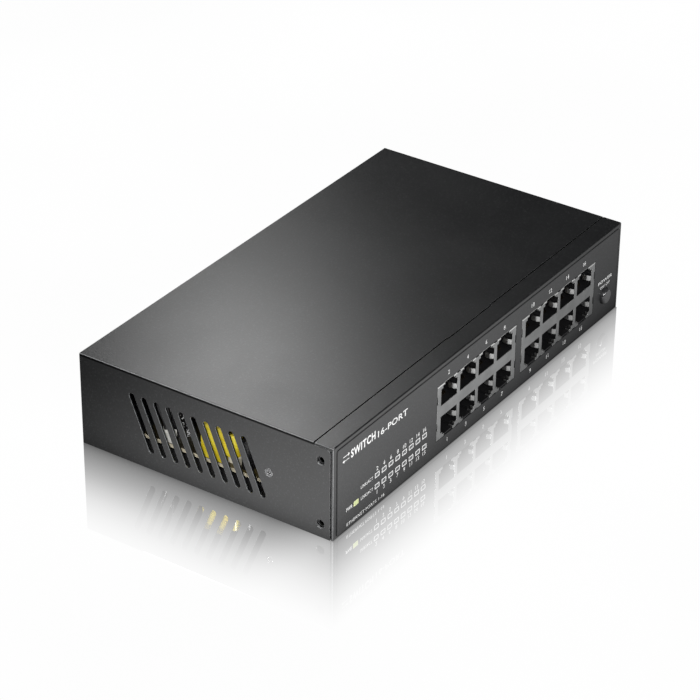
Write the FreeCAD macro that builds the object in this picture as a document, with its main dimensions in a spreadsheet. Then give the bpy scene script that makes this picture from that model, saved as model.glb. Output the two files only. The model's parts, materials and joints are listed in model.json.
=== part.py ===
import FreeCAD, Part
import math
import os

import Sketcher
from FreeCAD import Placement, Rotation, Vector

# Desktop network switch: a bent-steel case with two stacked blocks of RJ45 jacks,
# a main board and a mains power supply inside.
# +Z up, front face towards -Y, lamps and power supply towards -X, vents on both sides.
# Origin at the centre of the underside. Millimetres.

doc = FreeCAD.newDocument("desktop_switch")
sheet = doc.addObject("Spreadsheet::Sheet", "dims")
by_alias = {}
nodes = {}


# ---------------------------------------------------------------- driving values
class Value:
    """A number together with the spreadsheet formula that gives it."""

    def __init__(self, number, formula):
        self.number = float(number)
        self.formula = formula

    def join(self, sign, other, number):
        return Value(number, "(%s %s %s)" % (self.formula, sign, formula_of(other)))

    def __add__(self, other):
        return self.join("+", other, self.number + val(other))

    def __sub__(self, other):
        return self.join("-", other, self.number - val(other))

    def __mul__(self, other):
        return self.join("*", other, self.number * val(other))

    def __truediv__(self, other):
        return self.join("/", other, self.number / val(other))

    def __neg__(self):
        return Value(-self.number, "(0 - %s)" % self.formula)

    __radd__ = __add__
    __rmul__ = __mul__


def val(value):
    return value.number if isinstance(value, Value) else float(value)


def formula_of(value):
    if isinstance(value, Value):
        return value.formula
    return "%.6g" % value if value >= 0 else "(0 - %.6g)" % -value


def dim(alias, number):
    """Adds a driving dimension to the sheet."""
    row = len(by_alias) + 1
    sheet.set("A%d" % row, alias)
    sheet.set("B%d" % row, "%.6g" % number)
    sheet.setAlias("B%d" % row, alias)
    by_alias[alias] = Value(number, "dims." + alias)
    return by_alias[alias]


def dims(prefix, **numbers):
    return [dim(prefix + "_" + key, number) for key, number in numbers.items()]


def bind(obj, path, value):
    if isinstance(value, Value):
        obj.setExpression(path, value.formula)


def node(obj, label):
    """Labels an object as one of the pieces to export."""
    obj.Label = label
    nodes[label] = obj


# ---------------------------------------------------------------- primitives and booleans
# rotations that turn +Z to the named side of the case
TO_LEFT = Rotation(Vector(0, 1, 0), -90)
TO_RIGHT = Rotation(Vector(0, 1, 0), 90)
TO_REAR = Rotation(Vector(1, 0, 0), -90)
TO_FRONT = Rotation(Vector(1, 0, 0), 90)


def primitive(kind, name, position, rot=None, **sizes):
    obj = doc.addObject("Part::" + kind, name)
    for prop, size in sizes.items():
        setattr(obj, prop, val(size))
        bind(obj, prop, size)
    obj.Placement = Placement(Vector(*[val(c) for c in position]), rot or Rotation())
    for key, value in zip("xyz", position):
        bind(obj, "Placement.Base." + key, value)
    return obj


def box(name, x, y, z, length, width, height):
    """A block from its low corner and its sides along X, Y and Z."""
    return primitive("Box", name, (x, y, z), Length=length, Width=width, Height=height)


def cyl(name, x, y, z, radius, length, rot=None):
    return primitive("Cylinder", name, (x, y, z), rot, Radius=radius, Height=length)


def cut(name, base_obj, tool):
    obj = doc.addObject("Part::Cut", name)
    obj.Base, obj.Tool = base_obj, tool
    return obj


def fuse(name, shapes):
    obj = doc.addObject("Part::MultiFuse", name)
    obj.Shapes = shapes
    return obj


def group(name, shapes):
    """Separate solids of one kind, kept as one piece."""
    obj = doc.addObject("Part::Compound", name)
    obj.Links = shapes
    return obj


def block(name, x, y, z, length, width, height):
    """A component body on its own dimensions: centre x, y and base z."""
    cx, cy, length, width, height = dims(name, cx=x, cy=y, len=length, wid=width, hgt=height)
    return box(name + "_blk", cx - length / 2, cy - width / 2, z, length, width, height)


def can(name, x, y, z, radius, height):
    """An upright round component on its own dimensions."""
    cx, cy, radius, height = dims(name, cx=x, cy=y, rad=radius, hgt=height)
    return cyl(name + "_can", cx, cy, z, radius, height)


# ---------------------------------------------------------------- sketched bodies
class Piece:
    """A PartDesign body; outlines are drawn in the sketch opened last."""

    def __init__(self, name):
        self.body = doc.addObject("PartDesign::Body", name)

    def origin(self, role):
        return next(f for f in self.body.Origin.OriginFeatures if f.Role == role)

    def sketch(self, name, plane, level=0.0):
        """Opens a sketch on an origin plane moved to the given coordinate.
        Normals: XY +Z, XZ -Y, YZ +X. A pad follows the normal and a pocket
        goes against it, unless reversed."""
        offset = -level if plane == "XZ" else level
        sk = self.drawing = self.body.newObject("Sketcher::SketchObject", name)
        sk.AttachmentSupport = [(self.origin(plane + "_Plane"), "")]
        sk.MapMode = "FlatFace"
        sk.AttachmentOffset = Placement(Vector(0, 0, val(offset)), Rotation())
        bind(sk, "AttachmentOffset.Base.z", offset)

    def constrain(self, *args):
        return self.drawing.addConstraint(Sketcher.Constraint(*args))

    def measure(self, value, *args):
        """A dimension constraint, bound to the sheet where it has a formula."""
        index = self.constrain(*args, val(value))
        bind(self.drawing, "Constraints[%d]" % index, value)

    def locate(self, x, y, geometry, point):
        self.measure(x, "DistanceX", -1, 1, geometry, point)
        self.measure(y, "DistanceY", -1, 1, geometry, point)

    def closed_lines(self, corners):
        count = len(corners)
        points = [Vector(val(x), val(y), 0) for x, y in corners]
        sides = [self.drawing.addGeometry(
            Part.LineSegment(points[i], points[(i + 1) % count]), False) for i in range(count)]
        for i in range(count):
            self.constrain("Coincident", sides[i], 2, sides[(i + 1) % count], 1)
        return sides

    def poly(self, corners):
        """A closed polygon whose corners are dimensioned from the origin."""
        for side, (x, y) in zip(self.closed_lines(corners), corners):
            self.locate(x, y, side, 1)

    def rect(self, x0, y0, x1, y1):
        """A rectangle from two corners: square sides, four dimensions."""
        sides = self.closed_lines([(x0, y0), (x1, y0), (x1, y1), (x0, y1)])
        for i, side in enumerate(sides):
            self.constrain("Vertical" if i % 2 else "Horizontal", side)
        self.locate(x0, y0, sides[0], 1)
        self.locate(x1, y1, sides[2], 1)

    def circle(self, x, y, radius):
        ring = Part.Circle(Vector(val(x), val(y), 0), Vector(0, 0, 1), val(radius))
        index = self.drawing.addGeometry(ring, False)
        self.measure(radius, "Radius", index)
        self.locate(x, y, index, 3)

    def slot(self, xa, ya, xb, yb, radius):
        """A straight slot with round ends, from centre a to centre b."""
        start = Vector(val(xa), val(ya), 0)
        end = Vector(val(xb), val(yb), 0)
        angle = math.atan2(end.y - start.y, end.x - start.x)
        side = Vector(-math.sin(angle), math.cos(angle), 0) * val(radius)
        quarter = math.pi / 2

        def arc(centre, first, last):
            ring = Part.Circle(centre, Vector(0, 0, 1), val(radius))
            return Part.ArcOfCircle(ring, first, last)

        curves = [
            arc(start, angle + quarter, angle + 3 * quarter),
            Part.LineSegment(start - side, end - side),
            arc(end, angle - quarter, angle + quarter),
            Part.LineSegment(end + side, start + side),
        ]
        ids = [self.drawing.addGeometry(curve, False) for curve in curves]
        for i in range(4):
            self.constrain("Tangent", ids[i], 2, ids[(i + 1) % 4], 1)
        self.measure(radius, "Radius", ids[0])
        self.locate(xa, ya, ids[0], 3)
        self.locate(xb, yb, ids[2], 3)

    def extrude(self, kind, suffix, length, reverse, mid):
        feature = self.body.newObject("PartDesign::" + kind, self.drawing.Name + suffix)
        feature.Profile = self.drawing
        feature.Length = val(length)
        bind(feature, "Length", length)
        feature.Reversed = reverse
        feature.Midplane = mid
        self.last = feature
        return feature

    def pad(self, length, reverse=False, mid=False):
        return self.extrude("Pad", "_pad", length, reverse, mid)

    def pocket(self, length, reverse=False, mid=False):
        """Cuts; raises if nothing was taken away."""
        doc.recompute([self.body])
        before = self.body.Shape.Volume
        feature = self.extrude("Pocket", "_cut", length, reverse, mid)
        doc.recompute([self.body])
        if not self.body.Shape.Volume < before - 1e-3:
            raise RuntimeError("%s cut nothing" % self.drawing.Name)
        return feature

    def repeat(self, axis, pitch, count, features=None):
        """A row along an axis, of the last feature unless others are given."""
        features = features or [self.last]
        row = self.body.newObject("PartDesign::LinearPattern", features[0].Name + "_row")
        row.Originals = features
        row.Direction = (self.origin(axis + "_Axis"), [""])
        length = pitch * (count - 1)
        row.Length = val(length)
        bind(row, "Length", length)
        row.Occurrences = count
        self.body.Tip = row
        doc.recompute([self.body])

    def dress(self, kind, prop, size, tests):
        """Fillets or chamfers every edge that passes one of the tests."""
        doc.recompute([self.body])
        tip = self.body.Tip
        names = ["Edge%d" % i for i, edge in enumerate(tip.Shape.Edges, 1)
                 if any(test(edge) for test in tests)]
        if not names:
            raise RuntimeError("no edges for " + kind)
        name = self.body.Name + "_" + kind.lower()
        feature = self.body.newObject("PartDesign::" + kind, name)
        feature.Base = (tip, names)
        setattr(feature, prop, val(size))
        bind(feature, prop, size)
        doc.recompute([self.body])

    def fillet(self, radius, *tests):
        self.dress("Fillet", "Radius", radius, tests)

    def chamfer(self, size, *tests):
        self.dress("Chamfer", "Size", size, tests)


def along(axis, **at):
    """Edge test: straight, along an axis, with its middle at the given coordinates."""
    def test(edge):
        if edge.Length < 1e-6 or not edge.Vertexes:
            return False
        try:
            curve = edge.Curve
        except TypeError:  # the edge's curve is of a kind Python has no class for
            return False
        if not isinstance(curve, Part.Line):
            return False
        direction = edge.tangentAt(edge.FirstParameter)
        if abs(abs(getattr(direction, axis)) - 1) > 1e-6:
            return False
        middle = edge.CenterOfMass
        return all(abs(getattr(middle, key) - val(value)) < 0.02 for key, value in at.items())
    return test


# ---------------------------------------------------------------- shared dimensions
case_width, case_depth, case_height = dims("case", width=218, depth=122, height=42)
steel = dim("sheet_thickness", 0.8)
label_thick = dim("label_thickness", 0.2)
sheet_gap = dim("sheet_gap", 0.15)
shadow_gap = dim("edge_shadow_gap", 0.6)
strip_depth = dim("front_strip_depth", 8.9)
seam = dim("seam_width", 0.6)
jog_depth, jog_half = dims("seam_jog", depth=0.4, half_width=16)
bend_radius = dim("bend_radius", 0.55)
tap_radius = dim("m3_tap_radius", 1.25)
m3_clear = dim("m3_clearance_radius", 1.7)

port_pitch = dim("port_pitch", 13.97)
port_width = dim("port_width", 12.05)
jacks_left_x, jacks_right_x = dims("jack_block", left_x=-7.0, right_x=57.3)
jack_width = dim("jack_block_width", 59.4)
jack_depth = dim("jack_block_depth", 28)
jack_bottom, jack_top = dims("jack_block", bottom=7.35, top=32.5)
bar_bottom, bar_top = dims("mid_bar", bottom=17.5, top=22.6)
window_gap = dim("jack_window_gap", 0.35)
BLOCKS = (("left", jacks_left_x), ("right", jacks_right_x))

lamp_x = dim("first_lamp_x", -79.2)
lamp_pitch = dim("lamp_pitch", 4.79)
lamp_rows = dims("lamp_row", low=9.65, high=14.8)
lamp_width, lamp_height = dims("lamp_window", width=3.1, height=2.0)
power_x, power_z = dims("power_lamp", x=-93.7, z=9.75)
LAMPS = 8

button_x, button_z, button_radius = dims("button", x=97.0, z=11.4, radius=3.45)
button_out = dim("button_proud", 1.7)

board_z, board_thick = dims("board", underside=5.7, thickness=1.6)
psu_z = dim("psu_board_underside", 6.4)
board_top = board_z + board_thick
psu_top = psu_z + board_thick

half_width = case_width / 2
front = -case_depth / 2                # front of the printed overlay
rear = case_depth / 2
steel_front = front + label_thick      # front of the steel front wall
steel_back = steel_front + steel       # back of the steel front wall
inner_width = case_width - 2 * steel - 2 * sheet_gap   # between the cover's side panels
strip_end = front + strip_depth
lead = 1                               # start of a cutting sketch in front of its face

# ears behind the cover's sides, and the cover's side screws
ear_y, ear_low, ear_high = dims("ear_hole", from_front=6.1, low=6.0, high=34.8)
side_screw_y, side_screw_z = dims("cover_screw", from_front=30.2, height=20.3)
rear_screw_x, rear_screw_z = dims("rear_screw", x=94, z=36.2)

inlet_x, inlet_z = dims("inlet", x=-74, z=22)
inlet_width, inlet_height = dims("inlet_body", width=27.0, height=19.8)
inlet_pitch = dim("inlet_screw_spacing", 40)
inlet_corner = dim("inlet_corner", 4.2)
ground_x, ground_z = dims("ground_screw", x=-36, z=12)

shank_radius = dim("standoff_shank_radius", 2.1)


def standoff_places(prefix, points):
    return [dims("%s_standoff_%d" % (prefix, i), x=x, y=y) for i, (x, y) in enumerate(points, 1)]


main_posts = standoff_places("main", [(-101, -54), (102, -28), (-36, 44), (102, 44)])
psu_posts = standoff_places("psu", [(-95.2, -20.6), (-53.5, -20.6), (-82.6, 34.8), (-53.5, 34.6)])


def lamp_window(piece, x, z, gap):
    wide, high = lamp_width / 2 + gap, lamp_height / 2 + gap
    piece.rect(x - wide, z - high, x + wide, z + high)


def cut_front_windows(piece, prefix, depth, lamp_gap):
    """Openings for the jack blocks, the button and the lamps."""
    level = steel_front - lead
    piece.sketch(prefix + "jack_windows", "XZ", level)
    reach = jack_width / 2 + window_gap
    for _, x in BLOCKS:
        piece.rect(x - reach, jack_bottom - 0.25, x + reach, jack_top + 0.25)
    piece.circle(button_x, button_z, button_radius + 0.3)
    piece.pocket(depth)
    piece.sketch(prefix + "lamp_windows", "XZ", level)
    for z in lamp_rows:
        lamp_window(piece, lamp_x, z, lamp_gap)
    piece.pocket(depth)
    piece.repeat("X", lamp_pitch, LAMPS)
    piece.sketch(prefix + "power_window", "XZ", level)
    lamp_window(piece, power_x, power_z, lamp_gap)
    piece.pocket(depth)


def draw_side_holes(piece, ear_radius, screw_radius):
    piece.circle(front + ear_y, ear_low, ear_radius)
    piece.circle(front + ear_y, ear_high, ear_radius)
    piece.circle(front + side_screw_y, side_screw_z, screw_radius)


def inlet_outline(width, height):
    """The mains inlet's section: a rectangle with its upper corners cut off."""
    x0, x1 = inlet_x - width / 2, inlet_x + width / 2
    z0, z1 = inlet_z - height / 2, inlet_z + height / 2
    return [(x0, z0), (x1, z0), (x1, z1 - inlet_corner), (x1 - inlet_corner, z1),
            (x0 + inlet_corner, z1), (x0, z1 - inlet_corner)]


# ---------------------------------------------------------------- base chassis
base = Piece("base_body")
base.sketch("front_wall_section", "YZ")
base.poly([
    (steel_front, 0), (steel_front, case_height), (strip_end, case_height),
    (strip_end, case_height - steel), (steel_back, case_height - steel), (steel_back, 0)])
base.pad(case_width, mid=True)

base.sketch("floor_section", "YZ")
floor_start = steel_front + steel / 2
rear_wall_top = case_height - steel - sheet_gap
base.poly([
    (floor_start, 0), (rear, 0), (rear, rear_wall_top),
    (rear - steel, rear_wall_top), (rear - steel, steel), (floor_start, steel)])
base.pad(inner_width, mid=True)

# lip behind the front strip, under the cover's edge
lip_depth = dim("lip_depth", 6.5)
lip_top = case_height - steel - 0.05
base.sketch("lip_section", "YZ")
base.poly([
    (strip_end - 2, lip_top - steel), (strip_end + lip_depth, lip_top - steel),
    (strip_end + lip_depth, lip_top), (strip_end - 1.2, lip_top),
    (strip_end - 1.2, case_height - steel / 2), (strip_end - 2, case_height - steel / 2)])
base.pad(inner_width - 1, mid=True)

# ears and screw tabs; the tab's outline is y from the front, z
TAB_OUTLINE = [
    (19, steel / 2), (29.6, steel / 2), (29.6, 13), (34, 16.5), (34, 26), (26, 26), (19, 18)]
tab_face = inner_width / 2
for side, x in (("left", -tab_face), ("right", tab_face - steel)):
    base.sketch("ear_" + side, "YZ", x)
    base.rect(steel_back - 0.2, steel / 2, front + 10.8, case_height - 3.4)
    base.pad(steel)
    base.sketch("screw_tab_" + side, "YZ", x)
    base.poly([(front + y, z) for y, z in TAB_OUTLINE])
    base.pad(steel)
for side, x in (("left", -tab_face - 0.4), ("right", tab_face + 0.4)):
    base.sketch("tapped_" + side, "YZ", x)
    draw_side_holes(base, tap_radius, tap_radius)
    base.pocket(2.0, reverse=(side == "left"))

cut_front_windows(base, "", depth=2.4, lamp_gap=0.2)

# the seam's shallow recess in the front strip
base.sketch("strip_recess", "XY", case_height + 0.5)
base.rect(-jog_half - seam, strip_end - jog_depth, jog_half + seam, strip_end + 1)
base.pocket(steel + 0.45)

# rear wall: mains inlet cut-out, inlet screws, cover screws, ground screw
base.sketch("rear_openings", "XZ", rear + lead)
base.poly(inlet_outline(inlet_width + 0.6, inlet_height + 0.6))
for sx in (-1, 1):
    base.circle(inlet_x + sx * inlet_pitch / 2, inlet_z, m3_clear)
    base.circle(sx * rear_screw_x, rear_screw_z, m3_clear)
base.circle(ground_x, ground_z, tap_radius)
base.pocket(2.4, reverse=True)

# floor: holes for the self-clinching standoffs
base.sketch("standoff_holes", "XY", steel + lead)
for x, y in main_posts + psu_posts:
    base.circle(x, y, shank_radius + 0.03)
base.pocket(2.4)

bends = [along("x", y=steel_front, z=case_height)]
for x in (-half_width, half_width):
    bends += [along("y", x=x, z=case_height), along("z", x=x, y=steel_front)]
base.fillet(bend_radius, *bends)
base.fillet(0.8, along("x", y=rear, z=0))
base.fillet(0.4, along("x", y=steel_front, z=0))
node(base.body, "base_chassis")

# ---------------------------------------------------------------- top cover
cover = Piece("cover_body")
cover_front = strip_end + seam
inside_x = half_width - steel
inside_z = case_height - steel
cover.sketch("cover_section", "XZ", cover_front)
cover.poly([
    (-half_width, 0), (-half_width, case_height), (half_width, case_height), (half_width, 0),
    (inside_x, 0), (inside_x, inside_z), (-inside_x, inside_z), (-inside_x, 0)])
cover.pad(rear - cover_front, reverse=True)
cover.fillet(bend_radius, *[along("y", x=x, z=case_height) for x in (-half_width, half_width)])

# front run of the side panels, under the strip, with a rounded corner
side_corner = dim("side_corner_radius", 1.8)
run_front, run_top = steel_back + shadow_gap, inside_z - 0.3
for side, x in (("left", -half_width), ("right", inside_x)):
    cover.sketch("side_front_" + side, "YZ", x)
    cover.rect(run_front, 0, cover_front + 0.3, run_top)
    cover.pad(steel)
cover.fillet(side_corner, along("x", y=run_front, z=run_top))

cover.sketch("seam_tongue", "XY", inside_z)
cover.rect(-jog_half, cover_front - jog_depth, jog_half, cover_front + 0.5)
cover.pad(steel)

# rear tabs that take the rear screws
cover.sketch("rear_tabs", "XZ", rear - steel - 0.2)
for sx in (-1, 1):
    x = sx * rear_screw_x
    cover.rect(x - 7, rear_screw_z - 5.5, x + 7, case_height - steel / 2)
cover.pad(steel)
cover.sketch("rear_tab_holes", "XZ", rear - steel - 0.7)
for sx in (-1, 1):
    cover.circle(sx * rear_screw_x, rear_screw_z, tap_radius)
cover.pocket(3.0, mid=True)

# slanted vents and screw holes, both sides
vent_pitch = dim("vent_pitch", 6.02)
vent_radius = dim("vent_half_width", 1.35)
vent_y0, vent_z0, vent_y1, vent_z1 = dims("vent", low_y=33.0, low_z=9.0, high_y=42.0, high_z=31.2)
ear_clear = dim("ear_clearance_radius", 1.65)
side_shank = dim("cover_screw_shank_radius", 1.25)
side_sink = dim("cover_screw_sink", 0.5)
OUTER_SIDES = (("left", -half_width - 0.5), ("right", half_width + 0.5))
for side, x in OUTER_SIDES:
    cover.sketch("vent_" + side, "YZ", x)
    cover.slot(front + vent_y0, vent_z0, front + vent_y1, vent_z1, vent_radius)
    cover.pocket(2.2, reverse=(side == "left"))
    cover.repeat("Y", vent_pitch, 10)
for side, x in OUTER_SIDES:
    cover.sketch("side_holes_" + side, "YZ", x)
    draw_side_holes(cover, ear_clear, side_shank + 0.1)
    cover.pocket(2.2, reverse=(side == "left"))


def side_rim(radius, height):
    """Edge test: a hole's rim on the outer face of either side panel."""
    def test(edge):
        middle = edge.CenterOfMass
        return (isinstance(edge.Curve, Part.Circle)
                and abs(edge.Curve.Radius - val(radius)) < 1e-3
                and abs(abs(middle.x) - val(half_width)) < 1e-3
                and abs(middle.z - val(height)) < 0.1)
    return test


cover.chamfer(0.35, side_rim(ear_clear, ear_low), side_rim(ear_clear, ear_high))
cover.chamfer(side_sink, side_rim(side_shank + 0.1, side_screw_z))
node(cover.body, "top_cover")

# ---------------------------------------------------------------- front overlay
label = Piece("label_body")
in_left, in_right, in_bottom, in_top = dims(
    "label_inset", left=2.3, right=2.0, bottom=0.9, top=1.9)
label_x = (in_left - half_width, half_width - in_right)
label_z = (in_bottom, case_height - in_top)
label.sketch("label_outline", "XZ", steel_front)
label.rect(label_x[0], label_z[0], label_x[1], label_z[1])
label.pad(label_thick)
cut_front_windows(label, "label_", depth=2.0, lamp_gap=0)
label.fillet(1.0, *[along("y", x=x, z=z) for x in label_x for z in label_z])
node(label.body, "front_label")

# ---------------------------------------------------------------- jack blocks
shield = dim("shield_thickness", 0.3)
latch_outer, latch_inner = dims("latch_half_width", outer=4.7, inner=3.3)
plug_height, latch_step = dims("plug_opening", height=7.8, step=1.15)
finger_height, finger_length, bulge = dims("shield_finger", height=2.3, length=4.2, bulge=0.75)
flap_inner, flap_outer = dims("shield_flap_depth", inner=1.9, outer=1.3)
finger_up, finger_down = dims("shield_finger_from_bar", upper=2.0, lower=3.4)
slit_width, slit_top, slit_bottom = dims(
    "edge_slit", width=2.6, top_height=0.5, bottom_height=0.4)
notch_width = dim("side_notch_width", 0.6)
spring_out = dim("side_spring_tab_out", 0.28)
plug_depth = dim("plug_cavity_depth", 15)
cavity_gap = 0.42        # housing cavity clear of the shield's opening
PORTS = 4                # per row

# row: direction away from the bar, the bar's face, the block's outer edge
JACK_ROWS = ((1, bar_top, jack_top), (-1, bar_bottom, jack_bottom))

# finger section: distance in from the opening's edge, y from the front
FINGER = [
    (0, 0.05), (bulge, 1.7), (bulge * 0.9, 2.6), (-0.1, finger_length),
    (-0.35, finger_length), (bulge * 0.9 - 0.26, 2.7), (bulge - 0.27, 1.75),
    (-0.3, 0.35), (-0.3, 0.05)]

# side spring tab section: distance out from the block's side, y from the front
SIDE_TAB = [
    (-shield, 2.6), (0, 2.6), (spring_out, 1.6), (spring_out, 1.1),
    (-0.05, 0.3), (-shield - 0.05, 0.3), (-0.05, 1.35)]


def mirrored(centre, half_outline):
    """A closed outline from its (half width, z) points, left side first."""
    return ([(centre - wide, z) for wide, z in half_outline]
            + [(centre + wide, z) for wide, z in reversed(half_outline)])


def jack_shield(tag, block_x):
    left, right = block_x - jack_width / 2, block_x + jack_width / 2
    port_x = block_x - port_pitch * 1.5        # leftmost port
    upper_step = bar_top + plug_height
    lower_step = bar_bottom - plug_height
    piece = Piece("shield_" + tag)
    piece.sketch("shell_" + tag, "XZ", front)
    piece.rect(left, jack_bottom, right, jack_top)
    piece.pad(jack_depth, reverse=True)
    piece.sketch("hollow_" + tag, "XY", jack_bottom - lead)
    piece.rect(left + shield, front + shield, right - shield, front + jack_depth - shield)
    piece.pocket(jack_top - jack_bottom + lead - shield, reverse=True)

    # fingers that grip a plug's shell
    for row, z in (("up", bar_top + finger_up), ("dn", bar_bottom - finger_down - finger_height)):
        piece.sketch("fingers_%s_%s" % (row, tag), "XY", z)
        for sx in (-1, 1):
            edge = port_x + sx * port_width / 2
            piece.poly([(edge - sx * inward, front + y) for inward, y in FINGER])
        piece.pad(finger_height)
        piece.repeat("X", port_pitch, PORTS)

    # plug openings with stepped latch notches: up in the top row, down in the bottom row
    piece.sketch("ports_" + tag, "XZ", front - lead)
    for sign, bar, rim in JACK_ROWS:
        notch = bar + sign * plug_height
        step = bar + sign * (plug_height + latch_step)
        piece.poly(mirrored(port_x, [
            (port_width / 2, bar), (port_width / 2, notch), (latch_outer, notch),
            (latch_outer, step), (latch_inner, step), (latch_inner, rim + sign * 0.3)]))
    piece.pocket(lead + 0.35)
    piece.repeat("X", port_pitch, PORTS)

    # slits over the bars between ports, where the shield's edge is turned back
    piece.sketch("edge_slits_" + tag, "XZ", front - lead)
    slit_x = port_x + port_pitch / 2
    x0, x1 = slit_x - slit_width / 2, slit_x + slit_width / 2
    piece.rect(x0, jack_top - slit_top, x1, jack_top + 0.2)
    piece.rect(x0, jack_bottom - 0.2, x1, jack_bottom + slit_bottom)
    piece.pocket(lead + 1.9)
    piece.repeat("X", port_pitch, PORTS - 1)

    # notches in the outer edges, each with the end of a side spring tab in it
    piece.sketch("side_notches_" + tag, "XZ", front - lead)
    for x0, x1 in ((left - 0.2, left + notch_width), (right - notch_width, right + 0.2)):
        piece.rect(x0, bar_top + 1.6, x1, bar_top + 5.4)
        piece.rect(x0, bar_bottom - 5.5, x1, bar_bottom - 2.0)
    piece.pocket(lead + 2.2)
    for row, z0, z1 in (("up", bar_top + 3.0, bar_top + 4.7),
                        ("dn", bar_bottom - 4.7, bar_bottom - 2.3)):
        piece.sketch("side_tabs_%s_%s" % (row, tag), "XY", z0)
        for sx, edge in ((-1, left), (1, right)):
            piece.poly([(edge + sx * out, front + y) for out, y in SIDE_TAB])
        piece.pad(z1 - z0)

    # flaps folded in beside each latch notch: half width, z range, depth
    for row, wide, z0, z1, depth in (
            ("up2", latch_outer, upper_step - 0.05, upper_step + latch_step, flap_outer),
            ("dn2", latch_outer, lower_step - latch_step, lower_step + 0.05, flap_outer),
            ("up", latch_inner, upper_step + latch_step - 0.05, jack_top - shield / 2, flap_inner),
            ("dn", latch_inner, jack_bottom + 0.65, lower_step - latch_step + 0.05, flap_inner)):
        piece.sketch("flaps_%s_%s" % (row, tag), "XZ", front + 0.05)
        piece.rect(port_x - wide - shield, z0, port_x - wide, z1)
        piece.rect(port_x + wide, z0, port_x + wide + shield, z1)
        piece.pad(depth, reverse=True)
        piece.repeat("X", port_pitch, PORTS)
    node(piece.body, "jack_shield_" + tag)


def jack_housing(tag, block_x):
    port_x = block_x - port_pitch * 1.5
    reach = jack_width / 2 - shield - 0.1
    piece = Piece("housing_" + tag)
    piece.sketch("block_" + tag, "XZ", front + shield + 0.08)
    piece.rect(block_x - reach, jack_bottom + 0.02, block_x + reach, jack_top - shield - 0.1)
    piece.pad(jack_depth - 2 * shield - 0.2, reverse=True)

    piece.sketch("cavity_" + tag, "XZ", front - lead)
    wide, narrow = port_width / 2 + cavity_gap, latch_inner + 0.55
    ends = (jack_top - shield - 0.55, jack_bottom + 0.55)
    for (sign, bar, _), end in zip(JACK_ROWS, ends):
        notch = bar + sign * (plug_height + cavity_gap)
        piece.poly(mirrored(port_x, [
            (wide, bar - sign * cavity_gap), (wide, notch), (narrow, notch), (narrow, end)]))
    cavity = piece.pocket(plug_depth + lead)

    # room for the shield's flaps
    piece.sketch("flap_relief_" + tag, "XZ", front - lead)
    wide, narrow = latch_outer + shield + 0.15, latch_inner + shield + 0.25
    ends = (jack_top + 0.3, jack_bottom + 0.55)
    for (sign, bar, _), end in zip(JACK_ROWS, ends):
        step = bar + sign * (plug_height + latch_step + 0.12)
        piece.poly(mirrored(port_x, [
            (wide, bar + sign * plug_height), (wide, step), (narrow, step), (narrow, end)]))
    relief = piece.pocket(lead + flap_inner + 0.2)
    piece.repeat("X", port_pitch, PORTS, [cavity, relief])
    node(piece.body, "jack_housing_" + tag)


# contact wires, sprung up from the cavity floor
contact_pitch, contact_thick = dims("contact", pitch=1.02, thickness=0.32)
CONTACTS = 8             # per port
# wire section: y from the front, height off the cavity floor
CONTACT = [
    (4.2, 0.1), (13.6, 0.1), (13.6, 0.42), (4.9, 0.42), (4.55, 0.75),
    (10.6, 3.3), (10.45, 3.62), (3.95, 0.95), (3.85, 0.55)]


def jack_contacts(tag, block_x):
    thick = val(contact_thick)
    wires_out = []
    for port in range(PORTS):
        port_x = val(block_x) + (port - 1.5) * val(port_pitch)
        for sign, bar, _ in JACK_ROWS:
            floor = val(bar) - sign * cavity_gap
            points = [Vector(0, val(front) + y, floor + sign * z) for y, z in CONTACT]
            face = Part.Face(Part.makePolygon(points + points[:1]))
            wire = face.extrude(Vector(thick, 0, 0))
            if wire.Volume < 0:  # the mirrored outline can turn the solid inside out
                wire.reverse()
            for i in range(CONTACTS):
                one = wire.copy()
                shift = (i - 3.5) * val(contact_pitch) - thick / 2
                one.translate(Vector(port_x + shift, 0, 0))
                wires_out.append(one)
    obj = doc.addObject("Part::Feature", "contacts_" + tag)
    obj.Shape = Part.makeCompound(wires_out)
    node(obj, "jack_contacts_" + tag)


for tag, block_x in BLOCKS:
    jack_shield(tag, block_x)
    jack_housing(tag, block_x)
    jack_contacts(tag, block_x)

# ---------------------------------------------------------------- lamps
lens_depth = dim("lens_depth", 2.4)
lamp_box_width, lamp_box_height, lamp_box_depth = dims(
    "lamp_housing", width=4.4, height=9.9, depth=6.5)
lens_y = front + 0.04
lens_gap = 0.08          # lens to window edge


def lens(name, x, z):
    return box(name, x - lamp_width / 2 + lens_gap, lens_y, z - lamp_height / 2 + lens_gap,
               lamp_width - 2 * lens_gap, lens_depth, lamp_height - 2 * lens_gap)


def lamp_box(name, x, height):
    return box(name, x - lamp_box_width / 2, lens_y + lens_depth + 0.05, board_top,
               lamp_box_width, lamp_box_depth, height)


lenses, lamp_boxes = [], []
for i in range(LAMPS):
    x = lamp_x + lamp_pitch * i
    lenses += [lens("lens_%d_%d" % (i, j), x, z) for j, z in enumerate(lamp_rows)]
    lamp_boxes.append(lamp_box("lamp_housing_%d" % i, x, lamp_box_height))
lamp_boxes.append(lamp_box("power_housing", power_x, lamp_box_height - 5))
node(group("lens_group", lenses), "link_lamp_lenses")
node(group("lamp_housing_group", lamp_boxes), "lamp_housings")
node(lens("power_lens", power_x, power_z), "power_lamp_lens")

# ---------------------------------------------------------------- push button
skirt_radius = dim("button_skirt_radius", 4.0)
plunger = dim("plunger_side", 3.0)
plunger_length = dim("plunger_length", 8.7)
plunger_y = front + 0.85


def button_rim(edge):
    """Edge test: the circle round the button's front face."""
    return (isinstance(edge.Curve, Part.Circle)
            and abs(edge.CenterOfMass.y - val(front - button_out)) < 0.01)


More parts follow.
